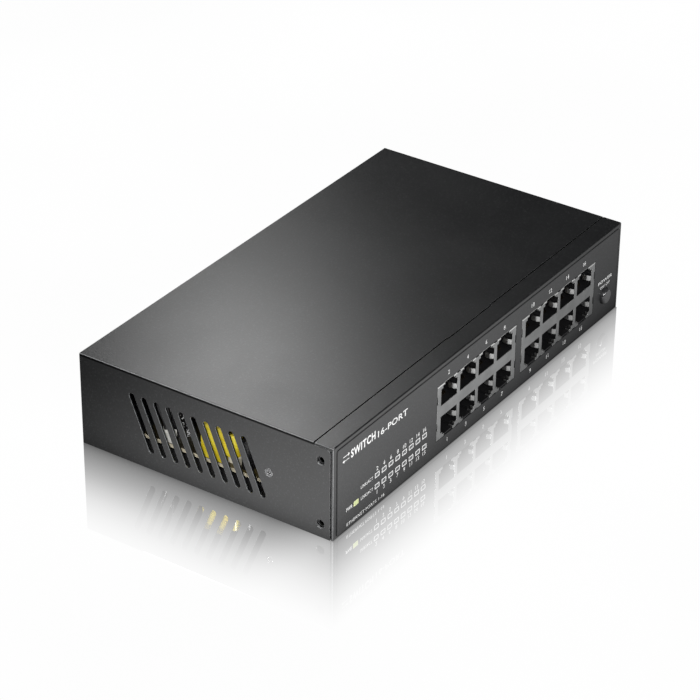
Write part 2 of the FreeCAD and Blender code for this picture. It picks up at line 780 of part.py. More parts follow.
button = Piece("button_body")
button.sketch("button_profile", "XZ", front)
button.circle(button_x, button_z, button_radius)
button.pad(3.6, reverse=True)
button.sketch("button_front", "XZ", front - button_out)
button.circle(button_x, button_z, button_radius)
button.pad(button_out + 0.1, reverse=True)
button.fillet(1.1, button_rim)
button.sketch("button_skirt", "XZ", front + 2.6)
button.circle(button_x, button_z, skirt_radius)
button.pad(1.0, reverse=True)
button.sketch("button_socket", "XZ", front + 0.8)
socket = plunger / 2 + 0.04
button.rect(button_x - socket, button_z - socket, button_x + socket, button_z + socket)
button.pocket(3.5)
node(button.body, "button_cap")

node(box("plunger_rod", button_x - plunger / 2, plunger_y, button_z - plunger / 2,
         plunger, plunger_length, plunger), "switch_plunger")

switch_y = front + dim("switch_front_from_face", 7.0)
switch_width, switch_depth, switch_height = dims("switch_body", width=8.4, depth=9.0, height=8.2)
bore = plunger + 0.12
node(cut("switch_shell",
         box("switch_block", button_x - switch_width / 2, switch_y, board_top,
             switch_width, switch_depth, switch_height),
         box("switch_bore", button_x - bore / 2, switch_y - 0.5, button_z - bore / 2,
             bore, switch_depth - 0.7, bore)), "switch_body")

spring_radius, spring_wire, spring_length = dims(
    "switch_spring", radius=1.2, wire_radius=0.15, length=4.8)
SPRING_TURNS = 6
rise = val(spring_length) - 0.5
helix = Part.makeHelix(rise / SPRING_TURNS, rise, val(spring_radius))
section = Part.Wire(Part.Circle(
    Vector(val(spring_radius), 0, 0), Vector(0, 1, 0), val(spring_wire)).toShape())
spring = doc.addObject("Part::Feature", "spring_coil")
spring.Shape = Part.Wire(helix.Edges).makePipeShell([section], True, True)
spring.Placement = Placement(
    Vector(val(button_x), val(plunger_y + plunger_length) + 0.3, val(button_z)), TO_REAR)
node(spring, "switch_spring")

# ---------------------------------------------------------------- main board
hole_radius = dim("board_hole_radius", 1.65)
main_y0, main_step, main_y1 = dims("main_board", front=-59.3, step=-27, back=49)
main_x0, main_inner, main_x1 = dims("main_board_x", left=-106, inner=-41.5, right=106)
main_board = Piece("main_board_body")
main_board.sketch("main_board_outline", "XY", board_z)
main_board.poly([
    (main_x0, main_y0), (main_x1, main_y0), (main_x1, main_y1),
    (main_inner, main_y1), (main_inner, main_step), (main_x0, main_step)])
main_board.pad(board_thick)
main_board.sketch("main_board_holes", "XY", board_top + lead)
for x, y in main_posts:
    main_board.circle(x, y, hole_radius)
main_board.pocket(4)
node(main_board.body, "main_board")

# switch chip under a heatsink: a base with straight fins
node(block("switch_chip", 25, 6, board_top, 20, 20, 1.4), "switch_chip")
FINS, FIN_PITCH, FIN_THICK, FIN_SINK = 8, 3.82, 1.25, 0.1
fin_height = dim("fin_height", 8)
sink_z = board_top + by_alias["switch_chip_hgt"]
sink = [block("chip_heatsink_base", 25, 6, sink_z, 28, 28, 2)]
sink_x, sink_y, sink_length, sink_width, sink_height = [
    by_alias["chip_heatsink_base_" + key] for key in ("cx", "cy", "len", "wid", "hgt")]
for i in range(FINS):
    sink.append(box(
        "fin_%d" % i, sink_x - sink_length / 2 + i * FIN_PITCH, sink_y - sink_width / 2,
        sink_z + sink_height - FIN_SINK, FIN_THICK, sink_width, fin_height))
node(fuse("chip_heatsink_body", sink), "chip_heatsink")

node(group("phy_group", [
    block("phy_a", -18, -6, board_top, 14, 14, 1.2),
    block("phy_b", 70, -6, board_top, 14, 14, 1.2)]), "port_chips")

# a row of eight transformers, with a wider gap in the middle
MAG_X, MAG_PITCH, MAG_GAP = -28, 15.6, 9
node(group("magnetics_group", [
    block("magnetics_%d" % (i + 1), MAG_X + i * MAG_PITCH + (MAG_GAP if i > 3 else 0), -24.5,
          board_top, 12.4, 9.6, 4.2) for i in range(8)]), "line_transformers")

node(block("crystal", 45, 20, board_top, 11, 4.6, 3.4), "crystal")
BOARD_CAPS = [(-30, 22), (-22, 22), (60, 22), (68, 22), (-30, 31)]     # x, y
node(group("board_capacitor_group", [
    can("board_cap_%d" % i, x, y, board_top, 3.15, 7.5)
    for i, (x, y) in enumerate(BOARD_CAPS, 1)]), "board_capacitors")
node(block("board_inductor", -14, 33, board_top, 12, 12, 6), "board_inductor")

header = block("board_header", -34, 12, board_top, 6, 12, 8)
SLOT_LENGTH, SLOT_WIDTH = 4.4, 10.4
header_slot = box(
    "board_header_slot", by_alias["board_header_cx"] - SLOT_LENGTH / 2,
    by_alias["board_header_cy"] - SLOT_WIDTH / 2, board_top + 1.2, SLOT_LENGTH, SLOT_WIDTH, 8)
node(cut("board_header_shell", header, header_slot), "board_power_header")
node(block("board_plug", -34, 12, board_top + 1.3, 4.1, 10.0, 9), "dc_plug")

# ---------------------------------------------------------------- power supply
psu_x0, psu_x1, psu_y0, psu_y1 = dims("psu_board", left=-99.4, right=-49.5, front=-25, back=38)
psu_board = Piece("psu_board_body")
psu_board.sketch("psu_board_outline", "XY", psu_z)
psu_board.rect(psu_x0, psu_y0, psu_x1, psu_y1)
psu_board.pad(board_thick)
psu_board.sketch("psu_board_holes", "XY", psu_top + lead)
for x, y in psu_posts:
    psu_board.circle(x, y, hole_radius)
psu_board.pocket(4)
node(psu_board.body, "psu_board")

insulator_thick = dim("insulator_thickness", 0.4)
insulator_hole = dim("insulator_hole_radius", 3.1)
insulator = Piece("insulator_body")
insulator.sketch("insulator_outline", "XY", steel + 0.05)
insulator.rect(psu_x0 - 2, psu_y0 - 2, psu_x1 + 2, psu_y1 + 2)
insulator.pad(insulator_thick)
insulator.sketch("insulator_holes", "XY", steel + 2)
for x, y in psu_posts:
    insulator.circle(x, y, insulator_hole)
insulator.pocket(3)
node(insulator.body, "insulator_sheet")

# transformer: bobbin rails, ferrite core frame, taped winding, tape band around the core
trafo_x, trafo_y = dims("transformer", x=-89.8, y=3.3)
core_length, core_width, core_height = dims(
    "transformer_core_frame", length=18, width=7, height=17.6)
core_z = psu_top + 0.47
rail_height = dim("bobbin_rail_height", 4.0)
node(group("bobbin", [
    box("bobbin_rail_front", trafo_x - 7, trafo_y - 11.2, psu_top, 14, 5.4, rail_height),
    box("bobbin_rail_back", trafo_x - 7, trafo_y + 5.8, psu_top, 14, 2.4, rail_height),
]), "transformer_bobbin")

leg = dim("transformer_leg", 3.5)
core_x0, core_y0 = trafo_x - core_length / 2, trafo_y - core_width / 2
node(cut("core_frame",
         box("core_outer", core_x0, core_y0, core_z, core_length, core_width, core_height),
         box("core_inner", core_x0 + leg, core_y0 - 1, core_z + leg,
             core_length - 2 * leg, core_width + 2, core_height - 2 * leg)), "transformer_core")

winding = Piece("winding_body")
winding.sketch("winding_outline", "XY", core_z + leg + 0.1)
narrow, wide = core_length / 2 - leg - 0.12, core_length / 2 - 0.05
wind_front, wind_step, wind_back = trafo_y - 11.1, core_y0 - 0.1, trafo_y + 5.8
winding.poly([
    (trafo_x - wide, wind_front), (trafo_x + wide, wind_front),
    (trafo_x + wide, wind_step), (trafo_x + narrow, wind_step),
    (trafo_x + narrow, wind_back), (trafo_x - narrow, wind_back),
    (trafo_x - narrow, wind_step), (trafo_x - wide, wind_step)])
winding.pad(core_height - 2 * leg - 0.2)
winding.fillet(2.4, *[along("z", x=trafo_x + sx * wide, y=wind_front) for sx in (-1, 1)])
node(winding.body, "transformer_winding")

tape = dim("tape_thickness", 0.35)
node(cut("tape_band",
         box("tape_outer", core_x0 - tape, trafo_y - 5.6, core_z - tape,
             core_length + 2 * tape, 11.3, core_height + 2 * tape),
         box("tape_inner", core_x0 - 0.02, trafo_y - 6.6, core_z - 0.02,
             core_length + 0.04, 13.3, core_height + 0.04)), "transformer_tape")

# label: centre x, centre y, base above the board, length, width, height
PSU_BLOCKS = {
    "dc_output_header": (-57.5, -13.0, 0, 5.4, 6.4, 6.0),
    "ac_input_header": (-97.5, 26.4, 0, 3.0, 6.0, 5.0),
    "x_capacitor": (-55.0, 22.4, 0, 8.5, 17.5, 14.5),
    "choke_base": (-70.5, 27.0, 0, 16, 15, 1.6),
    "bridge_rectifier": (-75.0, 16.0, 0, 9, 3.5, 9),
    "transistor_heatsink": (-60.0, 9.0, 0, 22, 2.2, 18),
    "switching_transistor": (-60.0, 5.5, 2.5, 10, 4.6, 15),
    "diode_heatsink": (-70.0, -7.5, 0, 2.2, 8.0, 17),
    "output_diode": (-67.3, -7.5, 2, 3.0, 7.0, 14),
    "optocoupler": (-57.0, -5.0, 0, 6.5, 4.6, 3.6),
}
# label: centre x, centre y, radius, height
PSU_CANS = {
    "bulk_capacitor": (-89.0, 27.2, 6.2, 25),
    "fuse": (-75.2, 7.4, 3.0, 7.6),
    "y_capacitor": (-75.8, -5.2, 3.2, 5.0),
}
OUTPUT_CAPS = {
    "output_cap_a": (-84.6, -14.2, 4.0, 16),
    "output_cap_b": (-75.0, -14.2, 4.0, 16),
    "output_cap_c": (-66.0, -16.0, 3.15, 11),
}
for name, (x, y, lift, length, width, height) in PSU_BLOCKS.items():
    node(block(name, x, y, psu_top + lift, length, width, height), name)
for name, (x, y, radius, height) in PSU_CANS.items():
    node(can(name, x, y, psu_top, radius, height), name)
node(group("output_group", [
    can(name, x, y, psu_top, radius, height)
    for name, (x, y, radius, height) in OUTPUT_CAPS.items()]), "output_capacitors")

# toroidal choke, standing on its base with its axis along Y
choke_big, choke_small = dims("choke_ring", big=5.6, small=2.1)
choke_place = (by_alias["choke_base_cx"], by_alias["choke_base_cy"],
               psu_top + by_alias["choke_base_hgt"] + 7.8)
node(primitive("Torus", "choke_ring", choke_place, TO_REAR,
               Radius1=choke_big, Radius2=choke_small), "input_choke")

# ---------------------------------------------------------------- standoffs
standoff_radius = dim("standoff_radius", 2.75)


def standoffs(tag, places, top):
    """Tapped posts from the floor up to a board's underside."""
    out = []
    for i, (x, y) in enumerate(places):
        shank = cyl("%s_so_shank_%d" % (tag, i), x, y, 0.0, shank_radius, steel + 0.1)
        post = cyl("%s_so_post_%d" % (tag, i), x, y, steel, standoff_radius, top - steel)
        bore_tool = cyl("%s_so_tap_%d" % (tag, i), x, y, 0.4, tap_radius, top)
        body = fuse("%s_so_f_%d" % (tag, i), [shank, post])
        out.append(cut("%s_so_%d" % (tag, i), body, bore_tool))
    return group(tag + "_standoff_group", out)


node(standoffs("main", main_posts, board_z), "board_standoffs")
node(standoffs("psu", psu_posts, psu_z), "psu_standoffs")

# ---------------------------------------------------------------- screws
pan_radius, pan_height, pan_shank = dims(
    "pan_screw", head_radius=2.7, head_height=1.9, shank_radius=1.2)


def phillips(name, screw, top, rot, head_radius, depth):
    """Cuts a cross recess down from the head's top, along the screw."""
    long_side, short_side = head_radius * 1.25, head_radius * 0.26
    bars = []
    for i, (a, b) in enumerate(((long_side, short_side), (short_side, long_side))):
        bar = box("%s_cross_%d" % (name, i), 0, 0, 0, a, b, depth)
        centred = Placement(Vector(-a / 2, -b / 2, -depth + 0.01), Rotation())
        bar.Placement = Placement(top, rot).multiply(centred)
        bars.append(bar)
    return cut(name + "_x", screw, fuse(name + "_cross", bars))


def pan_screw(name, x, y, z, rot, length):
    """Seat at x, y, z; the head stands out along rot's +Z, the shank runs the other way."""
    outward = rot.multVec(Vector(0, 0, 1))
    seat = Vector(val(x), val(y), val(z))
    tip = seat - outward * length
    head = cyl(name + "_head", x, y, z, pan_radius, pan_height, rot)
    shank = cyl(name + "_shank", tip.x, tip.y, tip.z, pan_shank, length + 0.2, rot)
    screw = fuse(name + "_f", [head, shank])
    top = seat + outward * val(pan_height)
    return phillips(name, screw, top, rot, val(pan_radius), 1.1)


screws = [pan_screw("bs_%d" % i, x, y, board_top, Rotation(), 5.0)
          for i, (x, y) in enumerate(main_posts)]
screws += [pan_screw("pscr_%d" % i, x, y, psu_top, Rotation(), 5.0)
           for i, (x, y) in enumerate(psu_posts)]
node(group("board_screw_group", screws), "board_screws")

# cover side screws: countersunk, flush
side_head = dim("cover_screw_head_radius", 1.75)
side_screws = []
for tag, rot, sx in (("l", TO_LEFT, -1), ("r", TO_RIGHT, 1)):
    face_x, y = sx * half_width, front + side_screw_y
    head = primitive("Cone", "cs_head_" + tag, (face_x - sx * 0.72, y, side_screw_z), rot,
                     Radius1=side_shank - 0.15, Radius2=side_head, Height=0.7)
    shank = cyl("cs_shank_" + tag, face_x - sx * 4.6, y, side_screw_z, pan_shank, 4.3, rot)
    top = Vector(val(face_x) - sx * 0.02, val(y), val(side_screw_z))
    screw = fuse("cs_f_" + tag, [head, shank])
    side_screws.append(phillips("cs_" + tag, screw, top, rot, val(side_head), 1.0))
node(group("cover_side_screw_group", side_screws), "cover_side_screws")

node(group("cover_rear_screw_group", [
    pan_screw("rs_%d" % i, sx * rear_screw_x, rear, rear_screw_z, TO_REAR, 3.6)
    for i, sx in enumerate((-1, 1))]), "cover_rear_screws")

# ---------------------------------------------------------------- mains inlet
flange_width, flange_height, flange_thick = dims(
    "inlet_flange", width=48, height=22.4, thickness=2.6)
inlet_depth = dim("inlet_depth", 16.5)
socket_width, socket_height = dims("inlet_cavity", width=23.6, height=16.4)
blade_width, blade_height = dims("blade", width=2.0, height=4.0)
BLADES = [(-7.0, -2.0), (7.0, -2.0), (0.0, 2.0)]     # x, z from the inlet's centre

inlet = Piece("inlet_body_solid")
inlet.sketch("inlet_flange_outline", "XZ", rear)
x0, x1 = inlet_x - flange_width / 2, inlet_x + flange_width / 2
z0, z1 = inlet_z - flange_height / 2, inlet_z + flange_height / 2
inlet.poly([
    (x0, inlet_z - 3.6), (x0 + 8, z0), (x1 - 8, z0), (x1, inlet_z - 3.6),
    (x1, inlet_z + 3.6), (x1 - 8, z1), (x0 + 8, z1), (x0, inlet_z + 3.6)])
inlet.pad(flange_thick, reverse=True)
inlet.sketch("inlet_case_outline", "XZ", rear)
inlet.poly(inlet_outline(inlet_width, inlet_height))
inlet.pad(inlet_depth)
inlet.sketch("inlet_socket", "XZ", rear + flange_thick + lead)
inlet.poly(inlet_outline(socket_width, socket_height))
inlet.pocket(flange_thick + lead + inlet_depth - 1.6, reverse=True)
inlet.sketch("inlet_screw_holes", "XZ", rear + flange_thick + lead)
for sx in (-1, 1):
    inlet.circle(inlet_x + sx * inlet_pitch / 2, inlet_z, m3_clear)
inlet.pocket(flange_thick + 2, reverse=True)

# slots the blades pass through
inlet.sketch("blade_slots", "XZ", rear - 10)
wide, high = blade_width / 2 + 0.03, blade_height / 2 + 0.03
for dx, dz in BLADES:
    x, z = inlet_x + dx, inlet_z + dz
    inlet.rect(x - wide, z - high, x + wide, z + high)
inlet.pocket(9, reverse=True)
node(inlet.body, "ac_inlet")

node(group("blade_group", [
    box("blade_%d" % i, inlet_x + dx - blade_width / 2, rear - 22,
        inlet_z + dz - blade_height / 2, blade_width, 20, blade_height)
    for i, (dx, dz) in enumerate(BLADES)]), "ac_inlet_pins")
node(group("inlet_screw_group", [
    pan_screw("is_%d" % i, inlet_x + sx * inlet_pitch / 2, rear + flange_thick, inlet_z,
              TO_REAR, 6.5) for i, sx in enumerate((-1, 1))]), "ac_inlet_screws")

# ---------------------------------------------------------------- wires
wire_radius = dim("wire_radius", 0.75)


def tube(points):
    """A wire swept along a smooth curve through points."""
    curve = Part.BSplineCurve()
    curve.interpolate([Vector(*p) for p in points])
    start = curve.tangent(curve.FirstParameter)[0]
    ring = Part.Circle(Vector(*points[0]), start, val(wire_radius))
    return Part.Wire(curve.toShape()).makePipeShell([Part.Wire(ring.toShape())], True, False)


def wires(name, paths):
    obj = doc.addObject("Part::Feature", name + "_sweep")
    obj.Shape = Part.makeCompound([tube(path) for path in paths])
    node(obj, name)


# paths are x, y, z points from end to end
pin_x, pin_z = val(inlet_x), val(inlet_z)
psu_face, main_face = val(psu_top), val(board_top)
lug_x, lug_z = val(ground_x), val(ground_z)
wires("ac_wires", [
    [(pin_x - 7, 38.2, pin_z - 2), (pin_x - 7.6, 36.4, pin_z + 1), (-84, 35.0, 31),
     (-90, 29.4, 36.4), (-97.2, 27.0, 32.4), (-98.1, 25.3, 20), (-97.9, 25.2, 15.5),
     (-97.8, 25.2, psu_face + 5.05)],
    [(pin_x + 7, 38.2, pin_z - 2), (pin_x + 6.6, 36.2, pin_z + 4), (-75, 33.2, 36.6),
     (-87.5, 33.4, 38.3), (-97.4, 31.6, 32), (-98.9, 29.3, 21), (-98.1, 27.6, 15.5),
     (-97.9, 27.5, psu_face + 5.05)],
])
wires("ground_wire", [
    [(pin_x, 38.2, pin_z + 2), (pin_x + 0.6, 37.4, pin_z + 8), (-64, 41.5, 35.5),
     (-50, 47, 34), (-40.5, 54, 27), (-36.6, 58.4, 21.5),
     (lug_x, 59.2, 19.2), (lug_x, 59.2, lug_z + 5.75)],
])
wires("dc_harness", [
    [(-57.5, -14.6 + 3.2 * i, psu_face + 6.15), (-57.5, -14.6 + 3.2 * i, psu_face + 8),
     (-54, -12 + 4 * i, 26 + i), (-44, -3 + 6 * i, 30), (-35, 7.8 + 6.4 * i, 27),
     (-34, 8.9 + 6.2 * i, main_face + 13.5), (-34, 8.9 + 6.2 * i, main_face + 10.35)]
    for i in (0, 1)
])

# ring lug and screw on the inside of the rear wall
lug_y = rear - steel - 0.6
ring = cyl("lug_ring", ground_x, lug_y, ground_z, 3.2, 0.5, TO_REAR)
tail = box("lug_tail", ground_x - 1.1, lug_y, ground_z + 1.5, 2.2, 0.5, 4.0)
lug_hole = cyl("lug_hole", ground_x, rear - steel - 2, ground_z, 1.5, 3.0, TO_REAR)
node(cut("lug", fuse("lug_f", [ring, tail]), lug_hole), "ground_lug")
node(pan_screw("gs", ground_x, lug_y - 0.02, ground_z, TO_FRONT, 1.9), "ground_screw")

# ---------------------------------------------------------------- export
doc.recompute()
bad = [o.Name for o in doc.Objects if any(k in o.State for k in ("Invalid", "Error"))]
if bad:
    raise RuntimeError("failed objects: %s" % bad)
os.makedirs("parts", exist_ok=True)
for name, obj in nodes.items():
    shape = obj.Shape
    if shape.isNull() or not shape.isValid() or not shape.Solids:
        raise RuntimeError("bad shape: " + name)
    shape.exportStep(os.path.join("parts", name + ".step"))
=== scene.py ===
"""Desktop 16-port network switch on a glossy white table.

The case is centred on the origin and stands on z = 0. Its front faces -y, its left side -x.
Lengths are in millimetres and become metres (MM) when a mesh or a light is made.
"""
import json
import math
import random
from functools import reduce

import bpy
from mathutils import Matrix, Vector


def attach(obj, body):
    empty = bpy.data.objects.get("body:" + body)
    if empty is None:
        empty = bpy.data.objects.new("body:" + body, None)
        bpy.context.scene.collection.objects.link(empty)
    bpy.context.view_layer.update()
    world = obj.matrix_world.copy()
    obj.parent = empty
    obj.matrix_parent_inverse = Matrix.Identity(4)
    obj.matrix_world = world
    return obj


MM = 0.001
HALF_X, HALF_Y, HEIGHT = 109.0, 61.0, 42.0  # the case
FRONT = -HALF_Y
PORT_BANKS = (-7.0, 57.3)  # x of each bank of four port columns
PORT_PITCH, PORT_HALF = 13.97, 6.025
BOARD_TOP, PSU_TOP = 7.3, 8.03

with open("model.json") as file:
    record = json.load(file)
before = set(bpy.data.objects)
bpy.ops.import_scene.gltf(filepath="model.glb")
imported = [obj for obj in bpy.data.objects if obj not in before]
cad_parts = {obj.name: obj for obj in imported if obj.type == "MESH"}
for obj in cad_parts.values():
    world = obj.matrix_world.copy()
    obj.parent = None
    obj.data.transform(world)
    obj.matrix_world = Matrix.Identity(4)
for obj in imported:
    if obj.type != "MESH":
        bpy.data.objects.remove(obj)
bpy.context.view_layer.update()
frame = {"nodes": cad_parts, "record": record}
scene = bpy.context.scene
port_columns = [[bank + (i - 1.5) * PORT_PITCH for i in range(4)] for bank in PORT_BANKS]


# ---------------------------------------------------------------- shader helpers
def scaled(color, factor):
    return tuple(c * factor for c in color)


class Shader:
    """A node material with shortcuts. Subclasses or callers set coords, in millimetres."""

    def __init__(self, name):
        self.material = bpy.data.materials.new(name)
        self.material.use_nodes = True
        self.tree = self.material.node_tree
        self.tree.nodes.clear()
        self.surface = self.node("OutputMaterial").inputs["Surface"]

    def node(self, kind, **settings):
        node = self.tree.nodes.new("ShaderNode" + kind)
        for key, value in settings.items():
            setattr(node, key, value)
        return node

    def link(self, output, socket):
        self.tree.links.new(output, socket)

    def put(self, socket, value):
        """Links an output, or sets a number or an RGB colour."""
        if hasattr(value, "is_output"):
            self.link(value, socket)
        else:
            socket.default_value = (*value, 1.0) if isinstance(value, tuple) else value

    def math(self, operation, a, b=0.0, clamp=False):
        node = self.node("Math", operation=operation, use_clamp=clamp)
        self.put(node.inputs[0], a)
        self.put(node.inputs[1], b)
        return node.outputs[0]

    def mul(self, *values):
        return reduce(lambda a, b: self.math("MULTIPLY", a, b), values)

    def add(self, *values):
        return reduce(lambda a, b: self.math("ADD", a, b), values)

    def largest(self, *values):
        return reduce(lambda a, b: self.math("MAXIMUM", a, b), values)

    def sub(self, a, b):
        return self.math("SUBTRACT", a, b)

    def invert(self, value):
        return self.sub(1.0, value)

    def above(self, value, limit):
        return self.math("GREATER_THAN", value, limit)

    def below(self, value, limit):
        return self.math("LESS_THAN", value, limit)

    def size(self, value):
        return self.math("ABSOLUTE", value)

    def beyond(self, value, limit):
        return self.above(self.size(value), limit)

    def within(self, value, limit):
        return self.below(self.size(value), limit)

    def split(self, vector):
        node = self.node("SeparateXYZ")
        self.link(vector, node.inputs[0])
        return node.outputs[0], node.outputs[1], node.outputs[2]

    def to_mm(self, vector):
        node = self.node("VectorMath", operation="SCALE")
        node.inputs["Scale"].default_value = 1000.0
        self.link(vector, node.inputs[0])
        return node.outputs[0]

    def noise(self, scale, detail=2.0, rough=0.5, stretch=None):
        node = self.node("TexNoise")
        node.inputs["Scale"].default_value = scale
        node.inputs["Detail"].default_value = detail
        node.inputs["Roughness"].default_value = rough
        coords = self.coords
        if stretch:
            stretched = self.node("VectorMath", operation="MULTIPLY")
            stretched.inputs[1].default_value = stretch
            self.link(coords, stretched.inputs[0])
            coords = stretched.outputs[0]
        self.link(coords, node.inputs["Vector"])
        return node.outputs[0]

    def cells(self, scale, feature="F1"):
        node = self.node("TexVoronoi", feature=feature)
        node.inputs["Scale"].default_value = scale
        self.link(self.coords, node.inputs["Vector"])
        return node.outputs["Distance"]

    def ramp(self, value, over=(0.3, 0.7), to=(0.0, 1.0), smooth=True):
        """Maps the range over to the range to, clamped."""
        kind = "SMOOTHSTEP" if smooth else "LINEAR"
        node = self.node("MapRange", interpolation_type=kind, clamp=True)
        self.put(node.inputs["Value"], value)
        node.inputs["From Min"].default_value, node.inputs["From Max"].default_value = over
        node.inputs["To Min"].default_value, node.inputs["To Max"].default_value = to
        return node.outputs["Result"]

    def mix(self, factor, first, second):
        node = self.node("Mix", data_type="RGBA", blend_type="MIX")
        self.put(node.inputs["Factor"], factor)
        self.put(node.inputs[6], first)
        self.put(node.inputs[7], second)
        return node.outputs[2]

    def mottle(self, value, dark, light, over=(0.3, 0.7)):
        return self.mix(self.ramp(value, over), dark, light)

    def mix_float(self, factor, first, second):
        node = self.node("Mix", data_type="FLOAT")
        for index, output in ((0, factor), (2, first), (3, second)):
            self.link(output, node.inputs[index])
        return node.outputs[0]

    def mix_shader(self, factor, first, second):
        node = self.node("MixShader")
        for socket, output in zip(node.inputs, (factor, first, second)):
            self.link(output, socket)
        return node.outputs[0]

    def bump(self, height, depth, normal=None):
        node = self.node("Bump")
        node.inputs["Strength"].default_value = 1.0
        node.inputs["Distance"].default_value = depth * MM
        self.link(height, node.inputs["Height"])
        if normal is not None:
            self.link(normal, node.inputs["Normal"])
        return node.outputs[0]

    def edge(self, radius):
        """A normal softened over the edges."""
        node = self.node("Bevel", samples=4)
        node.inputs["Radius"].default_value = radius * MM
        return node.outputs[0]

    def glint_mask(self, soft, face, over):
        """1 on the edges, where the softened normal leaves the face's own, and 0 elsewhere; it
        masks painted edge highlights.
        """
        node = self.node("VectorMath", operation="DOT_PRODUCT")
        self.link(soft, node.inputs[0])
        self.link(face, node.inputs[1])
        return self.ramp(node.outputs["Value"], over, to=(1.0, 0.0))

    def geometry(self, output):
        return self.node("NewGeometry").outputs[output]

    def ray(self, kind):
        return self.node("LightPath").outputs[f"Is {kind} Ray"]


mats = {}
SOCKETS = {
    "color": "Base Color", "rough": "Roughness", "metal": "Metallic",
    "spec": "Specular IOR Level", "normal": "Normal", "coat": "Coat Weight",
    "coat_rough": "Coat Roughness", "glow": "Emission Color",
    "glow_strength": "Emission Strength", "scatter": "Subsurface Weight",
}


class Mat(Shader):
    """A Principled material in the object's own coordinates."""

    def __init__(self, name):
        super().__init__(name)
        self.bsdf = self.node("BsdfPrincipled")
        self.link(self.bsdf.outputs[0], self.surface)
        self.coords = self.to_mm(self.node("TexCoord").outputs["Object"])
        mats[name] = self.material

    def set(self, **values):
        for key, value in values.items():
            self.put(self.bsdf.inputs[SOCKETS[key]], value)

    def painted_mirror_glow(self, tone):
        """A painted glow, seen only by glossy rays coming up from the table, so that in the
        table's mirror image a face shows about the tone it shows directly.
        """
        incoming_z = self.split(self.geometry("Incoming"))[2]
        mask = self.mul(self.ray("Glossy"), self.below(incoming_z, limit=-0.3))
        self.set(glow=(1.0, 1.0, 1.0), glow_strength=self.mul(mask, tone))

    def speckled(self, slow, dark, light, speck, scale, over):
        """Slow mottling with sparse paler grains."""
        grain = self.ramp(self.noise(scale, detail=3.0, rough=0.75), over)
        coverage = self.mul(grain, 0.8)
        return self.mix(coverage, self.mottle(slow, dark, light, over=(0.35, 0.65)), speck)


# ---------------------------------------------------------------- materials
def plain(name, color, rough, metal=0.0, vary=0.12, grain=1.2, relief=0.01, edge=0.0,
          coat=0.0, coat_rough=0.15, scatter=0.0):
    """Moulded, plated or cast stuff: slow mottling, fine grain in the height, soft edges."""
    spread = 0.08  # of the roughness
    mat = Mat(name)
    slow = mat.noise(scale=0.09, detail=3.0)
    fine = mat.noise(grain)
    light = tuple(min(1.0, c * (1 + vary)) for c in color)
    fine_rough = mat.ramp(fine, over=(0.25, 0.75), to=(rough - spread / 2, rough + spread / 2))
    slow_rough = mat.ramp(slow, to=(-spread / 3, spread / 3))
    mat.set(color=mat.mottle(slow, scaled(color, 1 - vary), light),
            rough=mat.add(fine_rough, slow_rough),
            normal=mat.bump(fine, relief, mat.edge(edge) if edge else None),
            metal=metal, spec=0.5, coat=coat, coat_rough=coat_rough)
    if scatter:
        mat.set(scatter=scatter)
        mat.bsdf.inputs["Subsurface Radius"].default_value = (0.001, 0.001, 0.001)


